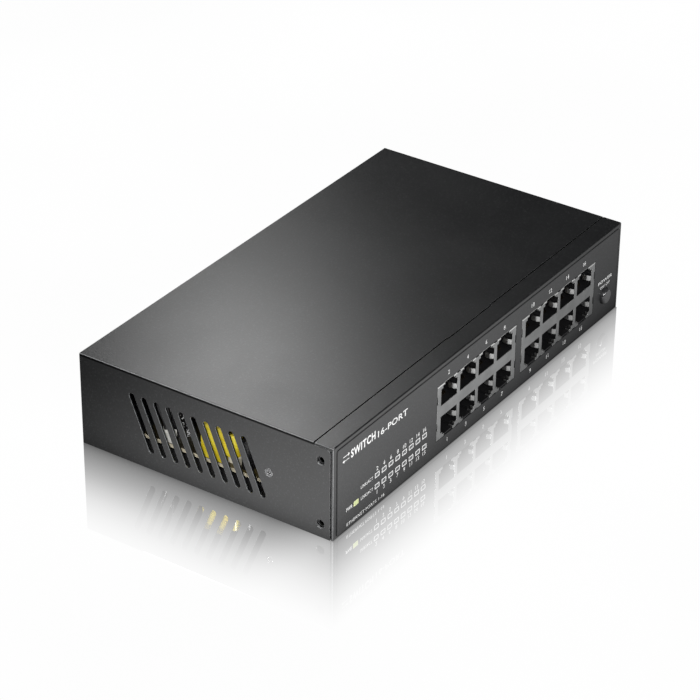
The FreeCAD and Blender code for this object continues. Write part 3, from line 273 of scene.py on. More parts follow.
def powder_coat():
    """A fine pebbled skin with a few lighter grains and thin handling marks."""
    mat = Mat("powder_black")
    pebble = mat.noise(scale=1.55, rough=0.55)
    fine_pebble = mat.noise(scale=3.4, detail=1.0)
    slow = mat.noise(scale=0.018, detail=3.0, rough=0.6)
    scuff = mat.noise(scale=0.5, detail=4.0, rough=0.7, stretch=(0.12, 1.4, 1.0))
    skin = mat.speckled(slow, dark=(0.0075, 0.0078, 0.0082), light=(0.0105, 0.0108, 0.0112),
                        speck=(0.034, 0.035, 0.036), scale=1.25, over=(0.52, 0.72))
    height = mat.add(mat.mul(pebble, 0.7), mat.mul(fine_pebble, 0.3))
    soft = mat.edge(radius=0.12)
    mat.set(rough=mat.add(mat.ramp(pebble, to=(0.335, 0.385)), mat.ramp(slow, to=(-0.012, 0.02)),
                          mat.ramp(scuff, over=(0.66, 0.8), to=(0.0, 0.05))),
            normal=mat.bump(height, depth=0.036, normal=soft))

    geometry = mat.node("NewGeometry")
    face = geometry.outputs["True Normal"]
    x, y, z = mat.split(mat.coords)
    face_x, face_y, face_z = mat.split(face)

    # on the sheet's cut edges round the vents and side holes a pale painted highlight runs along
    # the outer lip; deeper in, the walls are painted black shade
    cut = mat.mul(mat.beyond(x, limit=108.16), mat.within(face_x, limit=0.5),
                  mat.mul(mat.above(y, limit=-50.0), mat.below(z, limit=38.0)),
                  mat.below(y, limit=58.0), mat.above(z, limit=3.0))
    lip = mat.ramp(mat.size(x), over=(108.70, 108.85))
    wall_shade_black, lip_glint_grey = (0.0025, 0.0026, 0.0028), (0.13, 0.135, 0.14)
    wall = mat.mix(mat.mul(lip, mat.ramp(pebble, to=(0.75, 1.0))), wall_shade_black, lip_glint_grey)
    coat = mat.mix(cut, skin, wall)
    # the deeper walls' painted shade also keeps most of the glints and gloss off them
    wall_shade = mat.mul(cut, mat.invert(lip))

    # folded edges get a pale painted highlight
    fold_glint = mat.glint_mask(soft, face, over=(0.86, 0.99))
    # the front's upright corners are round, with a painted highlight the whole way up
    flatness = mat.largest(mat.size(face_x), mat.size(face_y))
    upright_glint = mat.mul(mat.ramp(flatness, over=(0.76, 0.90), to=(0.62, 0.0)),
                      mat.within(face_z, limit=0.2), mat.below(y, limit=-59.5))
    # along the cover's bends a pale painted highlight line runs above a painted dark shade line
    bend_glint = mat.mul(mat.ramp(face_z, over=(0.52, 0.62)),
                   mat.ramp(face_z, over=(0.955, 0.985), to=(1.0, 0.0)),
                   mat.beyond(x, limit=107.9))
    glint = mat.mul(mat.largest(fold_glint, upright_glint, mat.mul(bend_glint, 0.55)),
                  mat.ramp(scuff, to=(0.75, 1.0)))
    # painted dark shade line on the sides just under the cover's bend
    under = mat.mul(mat.ramp(z, over=(40.75, 41.0), to=(0.0, 0.85)),
                    mat.beyond(x, limit=108.2),
                    mat.mul(mat.below(face_z, limit=0.52), mat.above(y, limit=-52.0)))
    # inside the seam, under the strip's edge, nothing is lit, so it is painted black shade
    seam_y = -51.9
    seam = mat.mul(mat.within(mat.sub(y, seam_y), limit=0.95), mat.below(z, limit=41.93),
                   mat.mul(mat.above(z, limit=39.5), mat.within(x, limit=108.3)))
    # all the painted black shade: the seam and the line under the bend
    dark = mat.largest(seam, under)
    lit = mat.invert(mat.largest(dark, mat.mul(wall_shade, 0.8)))
    # the painted highlights stay out of the painted shade and are mostly left out of mirror
    # images
    direct = mat.invert(mat.mul(mat.ray("Glossy"), 0.85))
    glint = mat.mul(glint, lit, direct)

    # painted glow seen only in the table's mirror image; its tone falls off along the side and
    # along the front
    on_side = mat.mul(mat.beyond(x, limit=108.9), mat.beyond(face_x, limit=0.9))
    on_front = mat.mul(mat.below(y, limit=-60.4), mat.below(face_y, limit=-0.9))
    side_mirror_glow = mat.ramp(y, over=(-HALF_Y, HALF_Y), to=(0.085, 0.035), smooth=False)
    front_mirror_glow = mat.ramp(x, over=(-100.0, 100.0), to=(0.095, 0.05), smooth=False)
    mat.painted_mirror_glow(mat.add(mat.mul(on_side, side_mirror_glow), mat.mul(on_front, front_mirror_glow)))

    # from behind, the big front lights would mirror white in the top, so its gloss is held
    # back there
    eye_y = mat.split(geometry.outputs["Incoming"])[1]
    behind = mat.mul(mat.ramp(eye_y, over=(-0.15, 0.3), to=(0.0, 0.85)),
                     mat.above(face_z, limit=0.9))
    # painted shade is black; painted highlights are a pale metallic grey
    black, glint_grey = (0.001, 0.001, 0.001), (0.42, 0.425, 0.43)
    mat.set(color=mat.mix(glint, mat.mix(dark, coat, black), glint_grey),
            metal=mat.mul(glint, 0.9), spec=mat.mul(mat.mul(lit, 0.5), mat.invert(behind)))


def overlay():
    """The front's printed film."""
    mat = Mat("label_black")
    tooth = mat.noise(scale=2.6)
    slow = mat.noise(scale=0.02)
    mat.set(color=mat.speckled(slow, dark=(0.0085, 0.0088, 0.0095), scale=1.15,
                               light=(0.0115, 0.0118, 0.0125), speck=(0.030, 0.031, 0.032),
                               over=(0.50, 0.72)),
            rough=mat.add(mat.ramp(tooth, to=(0.36, 0.42)), mat.ramp(slow, to=(-0.015, 0.02))),
            normal=mat.bump(tooth, depth=0.020, normal=mat.edge(radius=0.08)), spec=0.5)
    x = mat.split(mat.coords)[0]
    # painted glow seen only in the table's mirror image, fainter towards the right
    mat.painted_mirror_glow(mat.ramp(x, over=(-100.0, 100.0), to=(0.085, 0.045), smooth=False))


def nickel():
    """Rolled nickel plate with painted highlights on its edges, on its faces not turned to the
    front and along its top edge.
    """
    mat = Mat("nickel_shield")
    roll = mat.noise(scale=0.9, detail=3.0, rough=0.6, stretch=(0.25, 1.0, 3.0))
    slow = mat.noise(scale=0.12, detail=3.0, rough=0.6)
    soft = mat.edge(radius=0.15)
    face = mat.geometry("True Normal")
    z = mat.split(mat.coords)[2]
    face_y = mat.split(face)[1]
    # painted highlights: the edges, every face not turned to the front, and the top edge
    rim_glint = mat.largest(mat.glint_mask(soft, face, over=(0.80, 0.985)),
                      mat.ramp(face_y, over=(-0.97, -0.90), to=(0.0, 0.60)),
                      mat.ramp(z, over=(31.75, 32.05), to=(0.0, 0.9)))
    # the painted rim highlights are weaker in mirror images
    rim_glint = mat.mul(rim_glint, mat.sub(0.9, mat.mul(mat.ray("Glossy"), 0.7)))
    flat = mat.mottle(slow, dark=(0.235, 0.238, 0.238), light=(0.30, 0.304, 0.304))
    mat.set(color=mat.mix(rim_glint, flat, second=(0.80, 0.80, 0.79)), metal=1.0,
            rough=mat.ramp(roll, over=(0.25, 0.75), to=(0.32, 0.44)),
            normal=mat.bump(roll, depth=0.006, normal=soft))
    # painted glow on the front faces, seen only in the table's mirror image
    mat.painted_mirror_glow(mat.ramp(face_y, over=(-0.98, -0.95), to=(0.24, 0.0)))


def black_screw():
    """Blackened zinc, with a painted highlight round the head's edge and along the cross recess.
    """
    mat = Mat("screw_black")
    fine = mat.noise(scale=2.0)
    soft = mat.edge(radius=0.20)
    # painted highlight on the head's edges
    rim_glint = mat.glint_mask(soft, mat.geometry("True Normal"), over=(0.75, 0.98))
    zinc = mat.mottle(fine, dark=(0.10, 0.10, 0.104), light=(0.15, 0.15, 0.155))
    mat.set(color=mat.mix(rim_glint, zinc, second=(0.80, 0.80, 0.79)), metal=0.9,
            rough=mat.ramp(fine, to=(0.26, 0.36)),
            normal=mat.bump(fine, depth=0.004, normal=soft))


def tape():
    """Polyester tape: clear yellow, thin wrap lines, a soft sheen."""
    mat = Mat("yellow_tape")
    wrap = mat.noise(scale=0.8, detail=3.0, stretch=(0.3, 0.3, 2.2))
    slow = mat.noise(scale=0.15)
    mat.set(color=mat.mottle(slow, dark=(0.72, 0.55, 0.02), light=(0.86, 0.71, 0.05)),
            rough=mat.ramp(wrap, to=(0.24, 0.36)), coat=0.3, coat_rough=0.15,
            normal=mat.bump(wrap, depth=0.05, normal=mat.edge(radius=0.2)))


def sleeve():
    """Shrunk film round a can, faintly rippled."""
    mat = Mat("capacitor_sleeve")
    ripple = mat.noise(scale=0.35, stretch=(1.0, 1.0, 0.35))
    fine = mat.noise(scale=2.0)
    mat.set(color=mat.mottle(fine, dark=(0.010, 0.010, 0.011), light=(0.016, 0.016, 0.017)),
            rough=mat.ramp(fine, to=(0.2, 0.28)),
            normal=mat.bump(ripple, depth=0.08, normal=mat.edge(radius=0.3)))


def board(name, mask, track, dull, rough, sawn, rear_shade=False):
    """A circuit board: solder mask over faint tracks, small bright pads, a bare sawn edge;
    with rear_shade, painted dark shade over the board's rear half, the mains side."""
    mat = Mat(name)
    tracks = mat.ramp(mat.cells(scale=0.42, feature="DISTANCE_TO_EDGE"),
                      over=(0.03, 0.07), to=(1.0, 0.0))
    pads = mat.ramp(mat.cells(scale=0.55), over=(0.10, 0.14), to=(1.0, 0.0))
    slow = mat.noise(scale=0.2, detail=3.0)
    color = mat.mix(mat.mul(tracks, 0.55), mat.mottle(slow, mask, dull), track)
    color = mat.mix(mat.mul(pads, 0.7), color, second=(0.55, 0.53, 0.48))
    if rear_shade:
        y = mat.split(mat.coords)[1]
        # painted dark shade over the rear half, where the inside of the case is dark
        rear_shade_mask = mat.ramp(y, over=(-8.0, 12.0), to=(0.0, 0.85))
        color = mat.mix(rear_shade_mask, color, second=(0.006, 0.005, 0.003))
    face_z = mat.split(mat.geometry("True Normal"))[2]
    mat.set(color=mat.mix(mat.within(face_z, limit=0.5), color, sawn),
            rough=mat.ramp(slow, to=(rough - 0.05, rough + 0.06)),
            normal=mat.bump(mat.add(tracks, pads), depth=0.03, normal=mat.edge(radius=0.1)))


def lamp(name, color, glow=None):
    """A frosted light window; a lit one glows almost evenly."""
    mat = Mat(name)
    fine = mat.noise(scale=1.5)
    mat.set(color=mat.mottle(fine, scaled(color, 0.9), color),
            rough=mat.ramp(fine, to=(0.3, 0.4)),
            normal=mat.bump(fine, depth=0.01, normal=mat.edge(radius=0.1)))
    if glow:
        mat.set(glow=glow, glow_strength=mat.ramp(fine, over=(0.2, 0.8), to=(0.46, 0.54)))


def copper():
    """Enamelled wire wound round a ring."""
    mat = Mat("choke_copper")
    wave = mat.node("TexWave", wave_type="BANDS", bands_direction="DIAGONAL")
    wave.inputs["Scale"].default_value = 0.9
    wave.inputs["Distortion"].default_value = 0.4
    mat.link(mat.coords, wave.inputs["Vector"])
    turns = wave.outputs["Fac"]
    mat.set(color=mat.mix(turns, first=(0.30, 0.10, 0.03), second=(0.62, 0.25, 0.09)),
            metal=0.8, rough=mat.ramp(turns, over=(0.0, 1.0), to=(0.38, 0.26)),
            normal=mat.bump(turns, depth=0.25))


def earth():
    """Green insulation with a yellow stripe down one side."""
    mat = Mat("wire_green")
    normal_x = mat.split(mat.geometry("Normal"))[0]
    fine = mat.noise(scale=0.8)
    green, yellow = (0.03, 0.22, 0.03), (0.62, 0.52, 0.03)
    mat.set(color=mat.mottle(normal_x, green, yellow, over=(0.15, 0.3)),
            rough=mat.ramp(fine, to=(0.3, 0.38)), normal=mat.bump(fine, depth=0.006))


def ink(name, color, rough):
    """Screen-printed ink: slightly uneven coverage and a dry surface."""
    mat = Mat(name)
    fine = mat.noise(scale=2.5)
    mat.set(color=mat.mottle(fine, scaled(color, 0.92), color, over=(0.3, 0.75)),
            rough=mat.ramp(fine, to=(rough - 0.04, rough + 0.04)),
            normal=mat.bump(fine, depth=0.004))


powder_coat()
overlay()
nickel()
plain("jack_plastic", color=(0.0065, 0.0065, 0.007), rough=0.42, relief=0.006, grain=2.0,
      edge=0.12)
plain("gold_contact", color=(0.15, 0.12, 0.085), rough=0.30, metal=1.0, vary=0.1, grain=2.0,
      relief=0.003)
plain("button_plastic", color=(0.026, 0.026, 0.028), rough=0.32, relief=0.002, grain=2.4,
      coat=1.0, coat_rough=0.1)
plain("spring_steel", color=(0.55, 0.55, 0.56), rough=0.28, metal=1.0, relief=0.002)
plain("chip_black", color=(0.014, 0.014, 0.015), rough=0.5, relief=0.012, grain=3.0, edge=0.12)
plain("heatsink_aluminium", color=(0.62, 0.63, 0.64), rough=0.36, metal=1.0, relief=0.006,
      grain=1.6, edge=0.1)
plain("plated_steel", color=(0.60, 0.60, 0.58), rough=0.27, metal=1.0, relief=0.003,
      grain=2.0, edge=0.1)
black_screw()
plain("ferrite", color=(0.035, 0.034, 0.032), rough=0.62, relief=0.02, grain=1.8, edge=0.15)
plain("white_nylon", color=(0.78, 0.77, 0.72), rough=0.40, relief=0.006, scatter=0.15,
      edge=0.15)
plain("insulator_film", color=(0.02, 0.02, 0.02), rough=0.28, grain=0.5)
plain("cream_plastic", color=(0.74, 0.69, 0.55), rough=0.45, relief=0.008, scatter=0.1,
      edge=0.15)
plain("yellow_case", color=(0.62, 0.47, 0.05), rough=0.35, relief=0.006, edge=0.3)
plain("fuse_brown", color=(0.10, 0.05, 0.03), rough=0.35, relief=0.006, edge=0.2)
plain("ceramic_blue", color=(0.05, 0.16, 0.45), rough=0.28, relief=0.03, grain=0.5, edge=0.4)
plain("plated_brass", color=(0.66, 0.58, 0.38), rough=0.30, metal=1.0, relief=0.003, edge=0.12)
plain("wire_black", color=(0.015, 0.015, 0.015), rough=0.34, relief=0.006, grain=0.8)
plain("wire_red", color=(0.42, 0.02, 0.015), rough=0.34, relief=0.006, grain=0.8)
tape()
sleeve()
board("board_green", mask=(0.010, 0.085, 0.035), track=(0.03, 0.16, 0.07),
      dull=(0.008, 0.070, 0.030), rough=0.30, sawn=(0.20, 0.24, 0.12))
board("board_tan", mask=(0.085, 0.065, 0.020), track=(0.12, 0.092, 0.032),
      dull=(0.065, 0.050, 0.016), rough=0.45, sawn=(0.74, 0.67, 0.50), rear_shade=True)
lamp("lamp_lens", color=(0.075, 0.078, 0.080))
lamp("power_lens", color=(0.20, 0.23, 0.10), glow=(0.76, 0.86, 0.42))
copper()
earth()
ink("ink_white", color=(0.70, 0.70, 0.695), rough=0.5)
ink("ink_lamp", color=(0.60, 0.62, 0.34), rough=0.5)
ink("ink_black", color=(0.0035, 0.0035, 0.004), rough=0.62)
ink("ink_grey", color=(0.45, 0.45, 0.44), rough=0.5)

slots = {part["node"]: part["material_slot"] for part in frame["record"]["subparts"]}
for name, part in frame["nodes"].items():
    part.data.materials.clear()
    part.data.materials.append(mats[slots[name]])


# ---------------------------------------------------------------- mesh helpers
class Geo:
    """Collects several closed shapes into one piece that rides on the case."""

    def __init__(self):
        self.verts, self.faces = [], []

    def add(self, verts, faces):
        start = len(self.verts)
        self.verts += verts
        self.faces += [tuple(i + start for i in face) for face in faces]

    def box(self, xs, ys, zs):
        """A box between two values on each axis, in either order."""
        verts = [(x, y, z) for x in sorted(xs) for y in sorted(ys) for z in sorted(zs)]
        self.add(verts, [(0, 1, 3, 2), (4, 6, 7, 5), (0, 4, 5, 1),
                         (2, 3, 7, 6), (0, 2, 6, 4), (1, 5, 7, 3)])

    def prism(self, first, second, flip=False):
        """Joins two equal loops of points; flip turns the faces round."""
        n = len(first)
        ends = [tuple(range(n - 1, -1, -1)), tuple(range(n, 2 * n))]
        sides = [(i, (i + 1) % n, n + (i + 1) % n, n + i) for i in range(n)]
        if flip:
            ends = [face[::-1] for face in ends]
            sides = [face[:1] + face[:0:-1] for face in sides]
        self.add(first + second, ends + sides)

    def ring(self, outer, inner, y_front, y_back):
        """A flat ring on the front, between two equally long loops of (x, z)."""
        n = len(outer)
        verts = [(x, y, z) for y in (y_front, y_back) for loop in (outer, inner)
                 for x, z in loop]
        faces = []
        for i in range(n):
            j = (i + 1) % n
            faces += [(i, j, n + j, n + i), (2 * n + i, 3 * n + i, 3 * n + j, 2 * n + j),
                      (i, 2 * n + i, 2 * n + j, j), (n + i, n + j, 3 * n + j, 3 * n + i)]
        self.add(verts, faces)

    def piece(self, name, mat):
        data = bpy.data.meshes.new(name)
        data.from_pydata([(x * MM, y * MM, z * MM) for x, y, z in self.verts], [], self.faces)
        data.validate()
        data.update()
        piece = bpy.data.objects.new(name, data)
        scene.collection.objects.link(piece)
        data.materials.append(mats[mat])
        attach(piece, "case")


def letters(text, bold, track=1.06):
    """A solid word from the built-in font: centred vertices, faces, width and height."""
    curve = bpy.data.curves.new("word", "FONT")
    curve.body = text
    curve.size = 1.0
    curve.extrude = 0.05
    curve.offset = bold
    curve.resolution_u = 3
    curve.space_character = track
    holder = bpy.data.objects.new("word", curve)
    scene.collection.objects.link(holder)
    depsgraph = bpy.context.evaluated_depsgraph_get()
    data = bpy.data.meshes.new_from_object(holder.evaluated_get(depsgraph))
    verts = [tuple(vert.co) for vert in data.vertices]
    faces = [tuple(face.vertices) for face in data.polygons]
    bpy.data.objects.remove(holder)
    bpy.data.curves.remove(curve)
    bpy.data.meshes.remove(data)
    xs, ys, _ = zip(*verts)
    mid_x, mid_y = (max(xs) + min(xs)) / 2, (max(ys) + min(ys)) / 2
    centred = [(x - mid_x, y - mid_y, z) for x, y, z in verts]
    return centred, faces, max(xs) - min(xs), max(ys) - min(ys)


def rounded(x0, z0, x1, z1, radius, steps=5):
    """A rounded rectangle's outline on the front."""
    points = []
    for x, z, start in ((x1 - radius, z1 - radius, 0), (x0 + radius, z1 - radius, 90),
                        (x0 + radius, z0 + radius, 180), (x1 - radius, z0 + radius, 270)):
        for i in range(steps + 1):
            angle = math.radians(start + 90 * i / steps)
            points.append((x + radius * math.cos(angle), z + radius * math.sin(angle)))
    return points[::-1]


def circle(x, y, radius, z, count):
    angles = [2 * math.pi * i / count for i in range(count)]
    return [(x + radius * math.cos(a), y + radius * math.sin(a), z) for a in angles]


# ---------------------------------------------------------------- printing on the overlay
INK_FACE, INK_BACK = FRONT - 0.03, FRONT + 0.015
LAMP_COLUMNS = [-79.2 + 4.79 * i for i in range(8)]
LAMP_ROWS = (9.65, 14.8)
# text, x and z of its centre, letter height, width, boldness, letter spacing
LAMP_WORDS = [
    ("LINK/ACT", -86.3, 14.85, 1.45, 8.3, 0.004, 1.06),
    ("LINK/ACT", -86.3, 9.7, 1.45, 8.3, 0.004, 1.06),
    ("PWR", -98.3, 9.75, 1.6, 4.2, 0.012, 1.06),
    ("ETHERNET PORTS 1-16", -87.0, 2.85, 1.45, 26.0, 0.0, 1.06),
]
PANEL_WORDS = [
    ("POWER", 96.7, 19.5, 1.55, 11.6, 0.008, 1.06),
    ("ON / OFF", 96.9, 16.7, 1.35, 8.2, 0.004, 1.06),
    ("SWITCH", -89.2, 34.0, 3.8, 16.6, 0.03, 1.16),
    ("16-PORT", -68.8, 33.1, 2.9, 20.6, 0.01, 1.06),
]


def word(geo, text, x, z, height, width=None, bold=0.0, track=1.06):
    """Prints a word on the front; without a width the letters keep their proportions."""
    verts, faces, full_width, full_height = letters(text, bold, track)
    scale_z = height / full_height
    scale_x = width / full_width if width else scale_z
    geo.add([(x + u * scale_x, INK_FACE if w > 0 else INK_BACK, z + v * scale_z)
             for u, v, w in verts], faces)


def window_frame(geo, x, z, outer, inner):
    """The outline round a lamp window; outer and inner are half sizes in x and z."""
    loops = [rounded(x - half_x, z - half_z, x + half_x, z + half_z, radius, steps=3)
             for (half_x, half_z), radius in ((outer, 0.22), (inner, 0.12))]
    geo.ring(*loops, INK_FACE, FRONT + 0.035)


def arrow(geo, x0, x1, z, half):
    """A thin arrow from x0 to x1 at height z; half is the head's half height."""
    right = x1 > x0
    neck = x1 - half * 1.5 if right else x1 + half * 1.5
    outline = [(x0, z - half / 5), (neck, z - half / 5), (neck, z - half), (x1, z),
               (neck, z + half), (neck, z + half / 5), (x0, z + half / 5)]
    front, back = ([(px, y, pz) for px, pz in outline] for y in (INK_FACE, INK_BACK))
    geo.prism(front, back, flip=right)


def label_print():
    geo = Geo()
    for i, x in enumerate(LAMP_COLUMNS):
        for z in LAMP_ROWS:
            window_frame(geo, x, z, outer=(1.60, 1.10), inner=(1.20, 0.70))
        word(geo, str(2 * i + 2), x, z=17.75, height=1.9, bold=0.004)
        word(geo, str(2 * i + 1), x, z=6.8, height=1.9, bold=0.004)
    for row in LAMP_WORDS:
        word(geo, *row)
    for i, column in enumerate(port_columns[0] + port_columns[1]):
        word(geo, str(2 * i + 2), column - 0.7, z=36.0, height=1.9)
        word(geo, str(2 * i + 1), column - 0.7, z=4.35, height=1.9)
    for row in PANEL_WORDS:
        word(geo, *row)
    arrow(geo, x0=-102.7, x1=-98.3, z=35.0, half=0.75)
    arrow(geo, x0=-98.7, x1=-103.1, z=33.0, half=0.75)
    geo.piece("label_print_white", "ink_white")


def power_outline():
    geo = Geo()
    window_frame(geo, x=-93.7, z=9.75, outer=(1.66, 1.14), inner=(1.28, 0.78))
    geo.piece("power_lamp_outline", "ink_lamp")


def label_border():
    x0, x1, z0, z1 = -106.7, 107.0, 0.9, 40.1
    geo = Geo()
    geo.ring(rounded(x0 + 0.03, z0 + 0.03, x1 - 0.03, z1 - 0.03, radius=0.98),
             rounded(x0 + 0.36, z0 + 0.30, x1 - 0.36, z1 - 0.36, radius=0.75),
             FRONT - 0.02, INK_BACK)
    geo.piece("label_border_line", "ink_black")


label_print()
power_outline()
label_border()

# ---------------------------------------------------------------- capacitors
# x, y, radius, top
CANS = [(-89.0, 27.2, 6.2, 33.0), (-84.6, -14.2, 4.0, 24.0),
        (-75.0, -14.2, 4.0, 24.0), (-66.0, -16.0, 3.15, 19.0)]
PRINT_ANGLE = math.radians(219)  # the side the print faces, front left


def on_can(geo, text, can, turn, z, height, length, bold=0.02):
    """A word reading up a can's side, turned from PRINT_ANGLE; its letters lie round the can."""
    can_x, can_y, radius, _ = can
    verts, faces, full_width, full_height = letters(text, bold)
    around, along = height / full_height, length / full_width
    points = []
    for u, v, w in verts:
        reach = radius + 0.03 if w > 0 else radius - 0.02
        angle = PRINT_ANGLE + turn - v * around / radius
        points.append((can_x + reach * math.cos(angle), can_y + reach * math.sin(angle),
                       z + u * along))
    geo.add(points, faces)


def stripe(geo, can, turn0, turn1, z0, z1, steps=10):
    """A printed band up the side of a can, between two turns from PRINT_ANGLE."""
    can_x, can_y, radius, _ = can
    verts, faces = [], []
    for i in range(steps + 1):
        angle = PRINT_ANGLE + turn0 + (turn1 - turn0) * i / steps
        for reach in (radius + 0.025, radius - 0.02):
            x, y = can_x + reach * math.cos(angle), can_y + reach * math.sin(angle)
            verts += [(x, y, z0), (x, y, z1)]
    for i in range(steps):
        k, j = 4 * i, 4 * i + 4
        faces += [(k, j, j + 1, k + 1), (k + 2, k + 3, j + 3, j + 2),
                  (k, k + 2, j + 2, j), (k + 1, j + 1, j + 3, k + 3)]
    last = 4 * steps
    faces += [(0, 1, 3, 2), (last, last + 2, last + 3, last + 1)]
    geo.add(verts, faces)


def can_print():
    geo = Geo()
    on_can(geo, "400V 33uF", CANS[0], turn=0.62, z=14.0, height=2.6, length=17.0, bold=0.04)
    on_can(geo, "105 C", CANS[0], turn=0.12, z=15.0, height=1.8, length=8.0)
    stripe(geo, CANS[0], turn0=-0.95, turn1=-0.60, z0=9.0, z1=32.4)
    for can in CANS[1:3]:
        on_can(geo, "25V 470uF", can, turn=0.1, z=16.0, height=1.7, length=11.5)
    geo.piece("capacitor_print", "ink_white")


def can_tops():
    """Bare metal discs on the cans."""
    geo = Geo()
    for x, y, radius, top in CANS:
        loops = [circle(x, y, radius - 0.25, z, count=40) for z in (top + 0.06, top - 0.05)]
        geo.prism(*loops, flip=True)
    geo.piece("capacitor_tops", "heatsink_aluminium")


can_print()
can_tops()

# ---------------------------------------------------------------- small parts on the boards
# x, y, half width, legs on each side
CHIPS = [(25, 6, 10, 30), (-18, -6, 7, 20), (70, -6, 7, 20)]
LEG_PITCH = 0.62
# areas kept free of small parts: x, y, half size in x, half size in y
KEEP_CLEAR = [
    (25, 6, 17, 17), (-18, -6, 10, 10), (70, -6, 10, 10), (45, 20, 8, 5), (-14, 33, 9, 9),
    (-34, 12, 6, 9), (-36, 44, 6, 6), (102, 44, 6, 6), (102, -28, 6, 6), (-30, 22, 5, 5),
    (-22, 22, 5, 5), (60, 22, 5, 5), (68, 22, 5, 5), (-30, 31, 5, 5),
] + [(-28 + i * 15.6 + (9 if i > 3 else 0), -24.5, 8.5, 7) for i in range(8)]
SPOT_GAP = 2.6


def scatter_spots():
    draw = random.Random(7)
    spots = []
    for _ in range(400):
        x, y = draw.uniform(-38, 103), draw.uniform(-28, 46)
        if any(abs(x - cx) < half_x and abs(y - cy) < half_y
               for cx, cy, half_x, half_y in KEEP_CLEAR):
            continue
        if any(abs(x - sx) < SPOT_GAP and abs(y - sy) < SPOT_GAP for sx, sy in spots):
            continue
        spots.append((x, y))
        if len(spots) > 90:
            break
    return spots


def board_parts():
    """Scattered small parts with soldered ends, and the chips' legs."""
    bodies, ends = Geo(), Geo()
    base = BOARD_TOP - 0.02
    long, short, end = 1.0, 0.5, 0.35  # a part's half sizes and its end's reach
    for i, (x, y) in enumerate(scatter_spots()):
        half_x, half_y = (long, short) if i % 2 else (short, long)
        across_x, across_y = (x - half_x, x + half_x), (y - half_y, y + half_y)
        bodies.box(across_x, across_y, (base, BOARD_TOP + 0.5))
        for side in (-1, 1):
            near, far = side * long * 0.98, side * (long + end)
            if half_x > half_y:
                ends.box((x + near, x + far), across_y, (base, BOARD_TOP + 0.45))
            else:
                ends.box(across_x, (y + near, y + far), (base, BOARD_TOP + 0.45))
    for x, y, half, legs in CHIPS:
        for i in range(legs):
            along = (i - (legs - 1) / 2) * LEG_PITCH
            heights = (base, BOARD_TOP + 0.3)
            for side in (-1, 1):
                near, far = side * half, side * (half + 1.0)
                ends.box((x + near, x + far), (y + along - 0.12, y + along + 0.12), heights)
                ends.box((x + along - 0.12, x + along + 0.12), (y + near, y + far), heights)
    bodies.piece("board_small_parts", "chip_black")
    ends.piece("board_solder_ends", "plated_steel")


# a spring face's outline: inset from the port's side, y
SPRING = [(0.79, -59.2), (0.86, -57.7), (0.72, -56.9),
          (0.66, -56.9), (0.80, -57.7), (0.73, -59.2)]


def spring_faces():
    """The plug springs' inner faces run on past the folded fingers."""
    geo = Geo()
    for column in port_columns[0] + port_columns[1]:
        for side in (-1, 1):
            wall = column + side * PORT_HALF
            for bottom in (24.6, 11.8):
                loops = [[(wall - side * inset, y, z) for inset, y in SPRING]
                         for z in (bottom, bottom + 2.3)]
                geo.prism(*loops)
    geo.piece("plug_spring_faces", "nickel_shield")


def front_capacitor():
    """A small sleeved capacitor in front of the transformer."""
    top = PSU_TOP + 12.5
    for name, mat, radius, z0, z1 in (
            ("front_capacitor", "capacitor_sleeve", 2.9, PSU_TOP, top),
            ("front_capacitor_top", "heatsink_aluminium", 2.3, top, top + 0.2)):
        geo = Geo()
        geo.prism(*(circle(-95.0, -11.2, radius, z, count=32) for z in (z0, z1)))
        geo.piece(name, mat)


board_parts()
spring_faces()
front_capacitor()

# ---------------------------------------------------------------- table
# how strongly the table mirrors a point of the case at height z: z, strength
SIDE_MIRROR = [(0, 0.90), (2.9, 0.795), (5.1, 0.74), (7.3, 0.69), (10.9, 0.61), (14.6, 0.52),
               (21.9, 0.325), (29, 0.175), (42, 0.03), (50, 0.0)]
FRONT_MIRROR = [(0, 0.72), (2.2, 0.61), (4.3, 0.55), (7.5, 0.49), (10.8, 0.41), (16, 0.30),
                (21.5, 0.195), (32, 0.065), (42, 0.0), (50, 0.0)]
TINY = 1e-5  # keeps divisions off zero


def height_curve(mat, height, stations):
    top = stations[-1][0]
    node = mat.node("FloatCurve")
    points = node.mapping.curves[0].points
    for point, (z, strength) in zip(points, (stations[0], stations[-1])):
        point.location = (z / top, strength)
    for z, strength in stations[1:-1]:
        points.new(z / top, strength)
    node.mapping.update()
    mat.link(mat.math("DIVIDE", height, top), node.inputs["Value"])
    return node.outputs[0]


def mirror_strength(mat, geometry, x, y):
    """Follows the mirrored ray to the case's box and fades the mirror with the height it hits."""
    incoming_x, incoming_y, ray_z = mat.split(geometry.outputs["Incoming"])
    # incoming points at the viewer, so the mirrored ray runs (-x, -y, +z)
    ray_x, ray_y = mat.mul(incoming_x, -1.0), mat.mul(incoming_y, -1.0)
    enters, leaves = [], []
    for place, ray, half in ((x, ray_x, HALF_X), (y, ray_y, HALF_Y)):
        safe = mat.add(ray, TINY)
        walls = [mat.math("DIVIDE", mat.sub(wall, place), safe) for wall in (-half, half)]
        enters.append(mat.math("MINIMUM", *walls))
        leaves.append(mat.math("MAXIMUM", *walls))
    enter = mat.largest(*enters, 0.0)
    leave = mat.math("MINIMUM", mat.math("MINIMUM", *leaves),
                     mat.math("DIVIDE", HEIGHT, mat.add(ray_z, TINY)))
    hit = mat.below(enter, leave)
    hit_z = mat.mul(ray_z, enter)
    side_hit = mat.above(*enters)
    side = height_curve(mat, hit_z, SIDE_MIRROR)
    front = height_curve(mat, hit_z, FRONT_MIRROR)
    # near the front corner the side fades as the front does
    side = mat.mix_float(mat.ramp(y, over=(-62.0, -32.0)),
                         mat.mul(front, 0.90), mat.mul(side, 1.02))
    strength = mat.mix_float(side_hit, mat.mul(front, 1.08), side)
    return mat.math("MULTIPLY", hit, strength, clamp=True)


